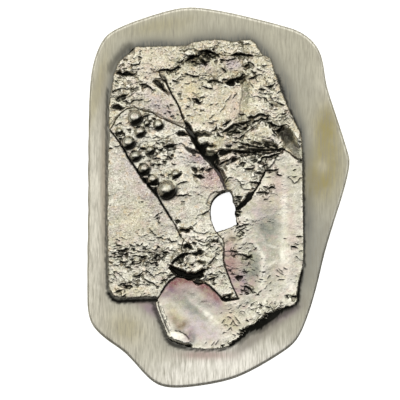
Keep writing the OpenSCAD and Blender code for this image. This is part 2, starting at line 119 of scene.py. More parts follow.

# Ledges, by size: a lit lip with a painted highlight on the left of the line as it runs, a step in
# painted shade along it.
# Each row is x, y along one line
LEDGES = [
    # Top sheet
    (FINE, [
        (-15.9, 18.9, -15.1, 18.75), (-13.5, 15.9, -12.9, 15.6), (-12.6, 16.15, -12, 16.15),
        (-10.6, 20.9, -10.2, 20.7), (0.1, 22.6, 0.7, 22.3), (0.7, 23.65, 0.95, 23.65),
        (-1.7, 24.4, -1.4, 24.4), (-9.5, 14, -9.2, 14), (-9.3, 13.1, -8.9, 13.05),
    ]),
    (PLAIN, [
        (-10.5, 22.7, -10.3, 22.7), (-13.8, 20.95, -13.4, 20.65, -13, 20.85, -12.5, 21, -12.3, 21.4),
        (-16.2, 18.4, -15.8, 18.15), (-16.8, 16.5, -16.3, 16.8, -15.7, 17.05, -15.1, 17.15),
        (-14.9, 15.1, -14.5, 15.3, -14.2, 14.95, -13.9, 14.9, -13.5, 15.15, -12.9, 15.35, -11.8, 15.35),
        (-13.8, 17.2, -13.3, 17), (-11, 17.5, -10.4, 16.95, -9.9, 16.85), (-7.85, 20.8, -7.6, 20.8),
        (-6.7, 21, -6.5, 21), (-1.1, 23.2, -0.5, 23.45), (-2.05, 22.2, -1.75, 22.2),
        (3.5, 24.35, 3.75, 24.4), (3.7, 24.1, 4.3, 24, 4.7, 24.3), (-8, 14.5, -7.7, 14),
        (-8.5, 13.15, -8.25, 13.3), (-7, 12.35, -6.8, 12.5), (-7.9, 13.6, -7.5, 13.4),
        (-8.3, 12.4, -8, 12.2), (-6.5, 13.2, -6.3, 12.9),
    ]),
    (DEEP, [
        (-14.4, 22.55, -13.9, 22.9, -13.3, 23.4), (-12.5, 22.15, -12.1, 21.95),
        (-15, 20.3, -14.5, 20.25), (-16.1, 15.4, -15.6, 15.75, -15, 16.05, -14.4, 16.15),
        (-12.3, 17.8, -11.6, 17.8, -11, 17.5),
        (-9.3, 19.95, -8, 20.1, -7.6, 19.9, -7, 20.1, -6.3, 20.55, -6, 20.4),
        (-6.5, 21.4, -6, 21.25, -5.5, 21.6), (-3.4, 22.1, -2.7, 22.5),
        (-2.9, 23.05, -2.2, 23.05, -1.2, 23), (-1.9, 22.8, -1.5, 22.4, -1.2, 22.1, -1, 22),
        (-1, 22.75, -0.6, 22.5, 0, 22.35), (4.2, 22.4, 5.4, 22.2), (-7.5, 14.6, -7.25, 14.6),
        (-7.5, 12.75, -7.15, 12.85),
    ]),
    (TORN, [
        (2.2, 22.4, 2.9, 22.55, 3.6, 22.5, 4.4, 22.4),
    ]),
    # Crest sheet
    (FINE, [
        (-1.9, 21.9, -1.5, 21.8, -1.1, 21.6), (-5.9, 17.4, -5.5, 17.35), (-1.5, 14.4, -0.9, 14.7),
        (-0.5, 14.6, -0.1, 14.75), (-4.2, 16.5, -3.5, 16.2, -2.9, 16.3), (1.1, 15, 1.5, 15.5, 2, 16.2),
        (0.3, 13.4, 1, 14.6), (2.1, 15.5, 2.9, 16.4), (6.3, 16.6, 6.9, 16.2), (7.1, 16.3, 7.5, 16.4),
        (4.9, 18.1, 5.2, 17.6, 5.4, 17.2), (-4, 13.8, -3.4, 13.9), (-3.1, 13.1, -2.8, 13),
        (-1.45, 12.3, -1, 12.9, -0.7, 13.1), (-1, 12.05, -0.5, 12, -0.1, 12.1),
        (9.6, 12.6, 10.3, 12.7, 10.8, 13), (10.3, 12.1, 10.8, 12.6),
        (3.2, 9, 4.2, 10.2, 5.2, 10.9, 6.4, 11.8),
    ]),
    (PLAIN, [
        (-3.8, 21.3, -3.3, 20.9, -3, 20.85), (1.1, 21.55, 1.6, 21.6, 2.2, 21.7, 2.7, 21.75),
        (4.5, 21.2, 5, 21.3, 5.6, 20.6), (0.4, 20.4, 0.7, 20.2, 1.2, 19.6),
        (-5.3, 19.5, -4.6, 19.2, -3.6, 18.95, -3, 19.05), (-7.2, 18.5, -6.7, 18.25, -6.2, 18.1),
        (-9, 18.6, -8.5, 18.35, -8.2, 18.5), (0, 18.15, 0.7, 17.95), (0.6, 18.55, 1, 18.45, 1.4, 18.6),
        (4.1, 19.1, 4.5, 19.05), (5.1, 19.85, 5.5, 19.55, 5.9, 19.65), (5.7, 19.15, 6.4, 19.3),
        (6.7, 20.8, 7.1, 20.55, 7.5, 20.65), (-2.4, 22.3, -1.8, 22.45, -1.1, 22.4),
        (-1.2, 22, -0.5, 22.25, 0.1, 22.15), (-3.4, 20.95, -3, 21.1, -2.6, 20.9),
        (8.6, 17.8, 8.85, 17.9), (-3.1, 17.2, -2.8, 17.15),
        (-2.6, 17.5, -2, 17.3, -1.5, 17.1, -0.9, 17.05), (-6.5, 16.2, -5.9, 16.3),
        (-6.1, 15.5, -5.7, 15.45), (-4.9, 15.6, -4.5, 15.5, -4.3, 15.1),
        (-3.5, 15.1, -3, 14.85, -2.6, 15.1), (-2.85, 15.75, -2.2, 15.65), (6.1, 15.9, 6.7, 15.55),
        (7, 15.7, 7.4, 15.5, 7.8, 15.1), (8, 15.8, 8.35, 15.4), (9, 14.4, 9.3, 14.3),
        (9, 15, 9.7, 14.7, 10.3, 14.5), (-5, 14.4, -4.5, 14.1), (-4.8, 12.9, -4.5, 12.85),
        (-1.5, 11.75, -1.1, 11.65, -0.8, 11.8), (2.5, 9.5, 3, 9.4), (3.7, 10.8, 4.2, 10.95, 4.5, 11.1),
        (9.7, 13.05, 10.1, 13.1, 10.6, 13.3), (9.1, 9.7, 8.6, 10.2, 8.2, 10.75), (7.7, 9.3, 8.1, 9.35),
        (9.6, 8.5, 9.8, 8.9), (4.4, 9.2, 4.9, 9.1), (2.2, 8.8, 2.6, 8.6, 3, 8.75),
    ]),
    (DEEP, [
        (-2.45, 21.5, -2.1, 21.1, -1.9, 20.9), (-0.65, 21.4, -0.3, 21.5), (0.3, 21.7, 0.8, 21.5),
        (3.8, 20.6, 4.2, 20.65, 4.5, 20.8, 4.7, 21.1),
        (-1.6, 18.25, -1.1, 18.35, -0.7, 18.5, -0.3, 18.3, 0.1, 18.1),
        (2.5, 18.6, 3.3, 18.8, 3.7, 19.3, 4.1, 19.35), (3, 18.5, 3.7, 18.75, 4, 19),
        (4.7, 18.65, 5.3, 18.85, 5.8, 19.15), (-5.2, 21.35, -4.9, 21.6, -4.5, 21.9),
        (-4.3, 22.3, -3.8, 22.2, -3.3, 22.2, -3, 21.9), (-4.6, 21.2, -4, 21.35, -3.5, 21.45),
        (-2.9, 21.7, -2.4, 21.5, -2, 21.25, -1.5, 21.35),
        (-2.9, 22.95, -2.2, 23.1, -1.4, 22.85, -0.6, 22.75), (7.6, 17.45, 8.2, 17.5, 8.6, 17.7),
        (6.35, 17, 7.15, 17), (9.15, 16.4, 9.6, 16.65),
        (-4.1, 15.5, -3.6, 15.5, -3.2, 15.15, -2.9, 14.95), (8.1, 14.75, 8.4, 14.6, 8.6, 14.3),
        (3.2, 13.2, 3.7, 13, 4, 13.05), (-0.9, 10.5, -0.6, 10.7, -0.4, 11.1),
        (-0.1, 10, 0.1, 9.7, 0.3, 9.65), (0.15, 10.9, 0.5, 10.7),
        (0.6, 11.3, 0.9, 11.5, 1.3, 11.8, 1.8, 12.1), (2.5, 11.6, 3, 11.4, 3.5, 11.1),
        (4.4, 11.9, 5, 12.1), (4.3, 11.6, 4.6, 11.25, 5.1, 11.4, 5.3, 11.7),
        (1.4, 10.2, 2, 10.35, 2.6, 10.7), (2.4, 10.2, 3, 10.2, 3.7, 10.3),
        (3.1, 9.3, 3.5, 9.6, 3.9, 9.9),
        (5.5, 12.7, 6, 12.95, 6.6, 13.1, 7, 13.1, 7.3, 12.85, 7.8, 12.95),
        (5.2, 11.85, 5.7, 11.95, 6.2, 12.1, 6.6, 12.4, 7.1, 12.3, 7.6, 12.5, 7.9, 12.75),
        (7.3, 12, 7.9, 11.8, 8.3, 11.7, 8.5, 11.4, 9.1, 11.3), (8.9, 11.2, 9.5, 11.2, 10.3, 11.4),
        (3.3, 8.6, 4.2, 8.4, 5, 8.25), (4.8, 8.3, 5.8, 8.1, 6.6, 7.95, 7.2, 7.9),
        (5.1, 8.8, 5.6, 8.75, 6.2, 8.5, 6.8, 8.4),
        (4.6, 7.8, 5.2, 7.65, 6, 7.55, 7, 7.45, 8, 7.5, 9.2, 7.6), (9.2, 7.6, 9.8, 7.7, 10.3, 7.65),
        (3.2, 8, 4.2, 7.95),
    ]),
    (TORN, [
        (1.3, 18, 1.8, 18.2, 2.2, 18.4, 2.7, 18.6),
        (0.7, 10.25, 1.2, 10.6, 1.7, 10.95, 2.2, 11.4, 2.6, 11.55), (3.2, 11.65, 3.9, 11.7, 4.5, 11.85),
        (4.7, 12.6, 5, 12.7, 5.6, 12.65), (8.8, 10.5, 9.3, 10.6, 9.8, 11), (1.35, 8.1, 1.9, 8.25),
    ]),
    # Middle flap
    (FINE, [
        (0.35, 3.5, 0.7, 3.95), (0.5, 3.15, 0.95, 3.7), (0.75, 2.85, 1.15, 3.4), (0.2, 3.9, 0.5, 4.35),
        (0.15, 4.4, 0.6, 4.7), (2.7, 4.75, 3, 4.9), (6.2, 5, 6.7, 4.5, 7.2, 4.3),
        (3.4, 2, 3.8, 1.5, 4.8, 1.3, 5.4, 1.2), (5.6, 3.4, 5.8, 3.4),
    ]),
    (PLAIN, [
        (2.5, -0.85, 3, -0.8), (2.55, -1.15, 2.95, -1.1), (9, 6.8, 9.4, 6.5), (6.1, 6.5, 6.4, 6.5),
        (5.2, 6.8, 5.6, 6.9), (5.25, 1.65, 5.6, 1.45), (1.05, 2.4, 1.3, 2.9, 1.7, 3.1, 2.2, 3.1),
    ]),
    (DEEP, [
        (2.3, 7.3, 2.9, 7.25, 3.6, 7.35), (2.5, 0.1, 3, 0.2, 3.6, 0.15), (3, -0.15, 3.5, -0.1),
        (2.45, -0.5, 2.9, -0.45, 3.3, -0.55), (3.2, 7.25, 4, 7.25, 4.9, 7.2),
        (4, 7, 5, 7.1, 5.8, 7.25, 6.6, 7.3), (0.9, 5.7, 1.5, 5.9, 1.8, 6.1),
        (3.2, 5.3, 3.7, 5.6, 4.2, 5.5), (3.5, 6.75, 3.8, 6.75), (4.2, 4.5, 5, 4.5, 5.6, 4.8),
        (6.1, 5.4, 6.5, 5.8, 6.8, 6.3, 7.2, 6.4, 7.8, 6.4, 8.2, 6.6, 8.7, 6.75, 9.1, 6.8),
        (5.1, 5.95, 5.5, 5.95, 5.9, 6.15), (6.9, 4.9, 7.3, 5.15, 7.7, 5.25),
        (5.6, 3.95, 6.3, 3.9, 7, 3.85), (4.9, 2.4, 5.5, 2.4, 6.5, 2.4),
    ]),
    (TORN, [
        (0.15, 5.2, 0.6, 5.5, 1, 5.7),
    ]),
    # Granule strip
    (FINE, [
        (-9.6, 8.95, -9.2, 9), (-9.9, 7.1, -9.4, 6.95), (-9.9, 9.8, -9.1, 9.4), (-9, 9.7, -8.5, 9.6),
        (-8, 7.6, -7.3, 7.4), (-4.9, 2.3, -4.7, 2.5), (-6.6, 1.35, -6.2, 1.4), (-3.7, 2.65, -3.3, 2.7),
        (-1.9, 3.2, -1.7, 3.2), (-3.4, -2.8, -2.7, -2.65), (-4.1, -4.5, -3.4, -3.9),
        (-3.3, 0.6, -2.8, 0.4, -2.4, 0.3), (-4, -5.1, -3.3, -5.5, -2.3, -5.6, -1.6, -5.3),
        (-3, -7.2, -2.4, -7.5), (-0.45, -11.7, -0.25, -11.7), (0.2, -9.7, 0.6, -9.7),
    ]),
    (PLAIN, [
        (-11.4, 11.15, -11, 11.15), (-15.1, 10.1, -14.7, 10.15), (-15.7, 11.6, -15.2, 11.85),
        (-16.1, 11.4, -15.8, 11.45), (-13, 8.65, -12.7, 8.65), (-9.75, 8.8, -9.5, 8.5, -9.3, 8.35),
        (-7.6, 6.6, -7.1, 6.85), (-10.5, 6.1, -10, 6.15, -9.6, 6.25, -9.1, 6.05),
        (-11, 5.7, -10.6, 5.9), (-7.3, 5.5, -7, 5.25, -6.7, 5.25), (-12, 6.5, -11.6, 6.5),
        (-8, 3.5, -7.4, 3.75), (-8.1, 3.15, -7.8, 3.15), (-6.9, 2.75, -6.7, 2.75),
        (-6.4, 2.1, -6, 2.35, -5.5, 2.45, -5, 2.6), (-6.7, 0.35, -6, 0.35, -5.3, 0.45, -4.8, 0.6),
        (-5.9, -0.5, -5.6, -0.65, -5.3, -0.55), (-2.7, -2.65, -2.4, -2.6, -2, -2.3, -1.6, -2),
        (-1.9, -7.4, -1.5, -7.2), (-1.5, -7.8, -1, -7.6), (-2, -8.8, -1.7, -8.8),
        (-5.9, -9.7, -5.6, -9.7), (-5.5, -10.7, -5, -10.2), (-5, -9.6, -4.75, -9.6),
        (-1.6, -10.35, -1.2, -10.1, -0.8, -9.6, -0.6, -9.3), (-4.8, -10.9, -4.5, -11),
        (-1.5, -12, -1, -11.9, -0.6, -12, -0.2, -12.3), (-0.9, -13.3, -0.4, -13.4),
        (-3, -13.1, -2.7, -12.9),
    ]),
    (DEEP, [
        (-11.9, 12.65, -11.4, 12.85, -11, 13), (-10.3, 12.65, -9.9, 12.45), (-10.9, 12.15, -10.4, 12),
        (-14.25, 10.7, -13.8, 10.75), (-16.1, 10.1, -15.8, 10.15, -15.4, 10.3),
        (-15.6, 9.35, -15.3, 9.4), (-12.45, 7.6, -12, 7.85, -11.7, 7.9, -11.3, 7.75),
        (-11.3, 7, -11, 6.85, -10.6, 6.95, -10.3, 7.3, -10.1, 7.65),
        (-10.45, 7.95, -10.1, 7.75, -9.7, 7.8), (-9.5, 7.6, -9.1, 7.5, -8.8, 7.75),
        (-9, 8.75, -8.5, 8.65), (-7.9, 6.6, -7.6, 6.25, -7.3, 6.1), (-8.8, 5.75, -8.2, 5.65),
        (-10.7, 5.15, -10.3, 5.15, -10.1, 5.35), (-9.8, 5.2, -9.1, 5.2), (-9.15, 3.6, -8.7, 3.6),
        (-4.6, 0.35, -4.4, 0.35), (-4, 3.75, -3.5, 3.5, -3.1, 3.4, -2.7, 3.4, -2.3, 3.15),
        (-3, 4.3, -2.6, 4.6, -2.2, 4.7), (-2, 4.3, -1.4, 4.5, -1, 4.6), (-3.9, 4.6, -3.4, 4.4),
        (-4, 6.7, -3.75, 6.7), (-6.9, -3.45, -6.6, -3.5, -6.2, -3.6, -6, -3.75),
        (-4.1, -7, -3.5, -7.05), (-0.4, -8.1, -0.1, -7.85), (-0.4, -8.65, 0, -8.8),
        (-5.3, -8.7, -4.5, -8.7), (-6.1, -10.1, -5.7, -10.1), (-4.4, -10.4, -4, -10.4),
        (-2.4, -10.6, -2.1, -10.5), (-1.65, -10.85, -1.35, -11.05),
        (-2.6, -11.35, -2.1, -11.2, -1.8, -11.3), (-1.7, -12.95, -1.2, -12.7, -0.7, -12.5),
    ]),
    (TORN, [
        (-8.5, 8.1, -7.9, 8.15, -7.3, 8.25, -6.8, 8.35),
        (-7.3, -10.15, -6.9, -9.8, -6.4, -9.3, -5.9, -8.95, -5.2, -8.7),
    ]),
    # Left sheet
    (FINE, [
        (-12.6, -0.6, -12.3, -0.9), (-17.2, 0.35, -17, 0.35), (-17.1, -1.2, -16.9, -1.2),
        (-9, -4.2, -8.7, -4.4), (-10.9, -4.8, -10.3, -5.5, -9.7, -6), (-8.6, -6.5, -8.1, -6.45),
        (-16.5, -10.5, -15.5, -10.7), (-12.9, -10.8, -12.4, -10.9), (-10.3, -10.9, -9.8, -10.9),
        (-16, -11.6, -15.5, -12.1, -15.1, -12.3), (-16.7, -11.9, -16.2, -12.3, -15.9, -12.7),
        (-10.8, -11.8, -10.3, -12.3, -10, -12.6), (-14.9, -14.8, -14.6, -14.5),
    ]),
    (PLAIN, [
        (-17.3, 7.65, -17, 7.8, -16.6, 7.65), (-12.15, -0.6, -11.85, -0.6),
        (-10, -3, -9.6, -2.6, -9.4, -2.4), (-9.2, -2.45, -8.9, -2.3), (-9.9, -3.3, -9.4, -3.1),
        (-9.55, -3.7, -9.2, -4), (-9.5, -6.2, -9.2, -6.4),
        (-7.7, -6.6, -7.3, -6.9, -6.8, -6.85, -6.6, -6.65), (-16.1, -6.5, -15.8, -6.65, -15.6, -6.8),
        (-16, -7.3, -15.7, -7.5, -15.2, -7.5), (-14, -7.3, -13.6, -7.5, -13.2, -7.55),
        (-12.9, -7.3, -12.4, -7.6), (-12.4, -7.4, -11.9, -7.1), (-14.9, -8.3, -14.4, -8.35),
        (-16.7, -8.7, -16.1, -8.6), (-13.6, -7.9, -13.1, -7.9), (-13.8, -8.6, -13.5, -8.65),
        (-12.7, -8.45, -12.3, -8.4), (-10.3, -8.1, -9.9, -8.2, -9.6, -7.8), (-9.6, -7.5, -9.2, -7.8),
        (-17.2, -9.3, -16.8, -9.1), (-16.5, -9.3, -16.1, -9.35), (-15.3, -9.5, -15, -9.5),
        (-13.9, -9.6, -13.4, -9.6), (-11, -9.5, -10.7, -9.3), (-9.3, -9.5, -8.8, -9.3, -8.5, -9),
        (-7.1, -8.3, -6.8, -8.45), (-11.6, -10.5, -11.2, -10.55),
        (-10.9, -10.4, -10.2, -10.25, -9.7, -10.1), (-8.9, -9.8, -8.7, -9.6),
        (-16.5, -11.5, -16, -11.55), (-17.2, -12.05, -16.9, -12.05), (-17, -13.2, -16.7, -13.2),
        (-11.7, -12.7, -11, -13.1, -10.3, -13.4, -9.8, -13.75), (-13.6, -13.3, -13.1, -13.5),
        (-11.8, -13.2, -11.6, -13.2), (-11.3, -13.4, -10.8, -13.7), (-8.3, -11.7, -8.05, -11.75),
    ]),
    (DEEP, [
        (-9.1, -6.15, -8.8, -6.4), (-8, -6.4, -7.75, -6.4), (-6.1, -5.8, -5.9, -5.8),
        (-15.9, -8.2, -15.5, -8.25, -15, -8.1, -14.5, -7.95, -14.1, -7.95),
        (-14.9, -8.9, -14.4, -8.7, -14.2, -8.5), (-11.7, -8, -11.2, -8), (-11.1, -8.6, -10.5, -8.5),
        (-15.8, -9.1, -15.4, -9.2, -15.1, -9.1), (-12.5, -9.2, -12, -9.25, -11.4, -9.2),
        (-10.3, -9.6, -9.9, -9.3, -9.6, -9), (-9.9, -9, -9.1, -8.9),
        (-8.9, -8.4, -8.4, -8.5, -7.9, -8.6), (-15.4, -9.9, -15, -10.1, -14.4, -10),
        (-13.8, -10.4, -13.3, -10), (-12.6, -10.2, -12.3, -10.1, -12, -9.9),
        (-11.6, -10.1, -11.1, -9.95, -10.8, -10), (-10, -10, -9.6, -10.1), (-14.6, -10.9, -13.9, -10.9),
        (-13.4, -12.25, -13, -12.3, -12.5, -12.2, -12.1, -11.8), (-11.3, -11.4, -10.9, -11.6),
        (-9.8, -13.8, -9.4, -13.9), (-14.05, -13.2, -13.7, -13.1),
        (-15.6, -13.75, -15.2, -13.5, -14.8, -13.5, -14.3, -13.3),
        (-15, -13.8, -14.5, -13.8, -13.9, -13.75, -13.5, -13.9), (-13, -13.7, -12.4, -13.7),
        (-16.2, -14.8, -15.8, -14.6, -15.2, -14.4), (-15.1, -15.5, -14.7, -15.2),
        (-8.9, -12.9, -8.5, -12.8, -8.2, -12.75), (-9.1, -13.4, -8.7, -13.3),
        (-8, -12.2, -7.4, -12.1, -6.9, -12.1), (-7.9, -10.5, -7.7, -10.5),
    ]),
    # Base sheet
    (FINE, [
        (11.4, 5.1, 11.7, 5.1), (12.2, 5.1, 12.5, 5.1), (8.1, 0.7, 8.4, 0.7), (7.9, -0.6, 8.3, -0.55),
        (5.6, -0.9, 5.85, -0.9), (11, 3.3, 11.5, 2.7, 11.95, 2.3, 12.6, 2.8, 13.2, 3.4),
        (4.4, -5, 4.7, -5.05), (3.9, -3.7, 4.4, -3.7), (10.2, -6.35, 10.6, -6.4),
        (12.1, -9, 12.5, -9.5), (6.1, -15.1, 6.6, -14.6), (9.1, -11.3, 9.6, -11.7),
        (9.5, -11.6, 10, -12, 10.3, -12.1), (9.4, -11.1, 9.9, -11.5, 10.1, -11.8),
        (10.2, -10.9, 10.7, -11.3), (9, -12.2, 9.6, -12.4),
        (9.2, -12.9, 9.5, -12.75, 9.8, -12.9, 10.3, -12.85), (7.6, -12.7, 8, -12.2),
        (7.9, -13.5, 8.3, -13.1), (7.2, -14.2, 7.6, -13.8), (8, -14.5, 8.3, -14.4),
        (2.2, -21.45, 2.6, -21.5), (8.7, -16.6, 8.95, -16.6), (9.6, -16.4, 9.8, -16.4),
        (5.6, -17.4, 5.9, -17.4), (5.3, -17.7, 5.5, -17.75), (0.5, -19.7, 0.8, -19.2, 1.1, -19.2),
        (0.9, -20, 1.3, -19.9, 1.5, -20.2), (1.3, -18.6, 1.7, -18.7, 2, -19),
        (2.2, -19.2, 2.6, -19.7, 2.9, -20.1), (1.8, -19.9, 2.3, -19.3),
        (1.5, -20.7, 1.9, -20.4, 2.1, -20.9), (2.6, -18.7, 3.1, -19.3, 3.4, -19.9),
        (0.6, -21.4, 0.9, -21.1), (0.3, -18.1, 0.5, -18.05),
        (-4.6, -22.1, -5.3, -21.4, -6.2, -21, -7, -20.85), (-2.2, -22.9, -1.9, -22.6),
        (-1.2, -23.2, -0.7, -22.6), (-0.6, -23.1, 0, -22.4),
    ]),
    (PLAIN, [
        (9, 3.8, 9.4, 3.6, 9.9, 3.5), (11.7, 4.3, 12.1, 4.4), (11.8, 3.2, 12.1, 3.4),
        (2.7, -4.8, 3.2, -4.5, 3.7, -4.35, 4.5, -4.15), (2.9, -5.1, 3.5, -5, 4, -4.75, 4.3, -4.7),
        (2.9, -5.6, 3.3, -5.3), (12.2, -6.1, 12.7, -6, 13.1, -6.05),
        (11.3, -7.6, 11.8, -7.7, 12.4, -7.9), (12, -7.2, 12.5, -7.35), (2.3, -9, 3, -8.8, 3.8, -8.8),
        (4.05, -11.2, 4.3, -11.7, 4.6, -11.6), (2, -11.9, 2.6, -12), (3.5, -13.8, 3.8, -13.8),
        (3.6, -14.4, 4, -14.6), (3.35, -15.1, 3.7, -15.1), (5.6, -14.75, 5.9, -14.9),
        (5.8, -15.3, 6.1, -15.1, 6.4, -15.3), (10.8, -15.3, 11.2, -15.15), (7.4, -17, 8.1, -17.2),
        (6.1, -19, 6.7, -19.2), (2.9, -21.2, 3.5, -21.5), (4.3, -19.1, 4.8, -19.3),
    ]),
    (DEEP, [
        (7.5, 4.3, 8, 4.35, 8.6, 4.35, 9.3, 4.45), (12.5, 5.75, 13.1, 5.95), (7.1, 1.8, 7.6, 1.75),
        (7.6, 1.5, 7.9, 1.6, 8.3, 1.75, 8.8, 1.45), (6, 0.85, 6.6, 0.85, 7.3, 0.95),
        (7.2, 0.75, 7.8, 0.75), (7.25, -0.2, 7.5, -0.2), (2.6, -2, 2.9, -2.1, 3.5, -2.15),
        (2.7, -2.6, 3.3, -2.6), (2.8, -3.9, 3.1, -4.1), (3.6, -5.2, 4, -5.5), (3.5, -5.7, 3.7, -5.9),
        (2.9, -5.9, 3.4, -6), (12.8, -8.35, 13, -8.35), (1.8, -8.4, 2.4, -8.35, 3, -8.5),
        (3.7, -8.8, 4.2, -9.05, 4.6, -9.25, 5.1, -9.1), (2.7, -12.5, 3, -12.4, 3.7, -12.35),
        (4, -13.8, 4.6, -14, 5, -14.4, 5.4, -14.9), (4.1, -14.7, 4.6, -14.9),
        (10.6, -15.3, 10.8, -15.4, 10.95, -15.7), (11.3, -15.3, 11.9, -15.4, 12.4, -15.5),
        (6.5, -16.7, 7, -16.95), (8.3, -17.3, 8.7, -17.8), (6.9, -18.4, 7.6, -18.6),
        (7.2, -18, 7.6, -18.05), (6.9, -18.85, 7.3, -19), (3.3, -20.7, 3.9, -20.9),
        (3.8, -20.5, 4.15, -20.65), (0.5, -23.1, 0.75, -23),
    ]),
]
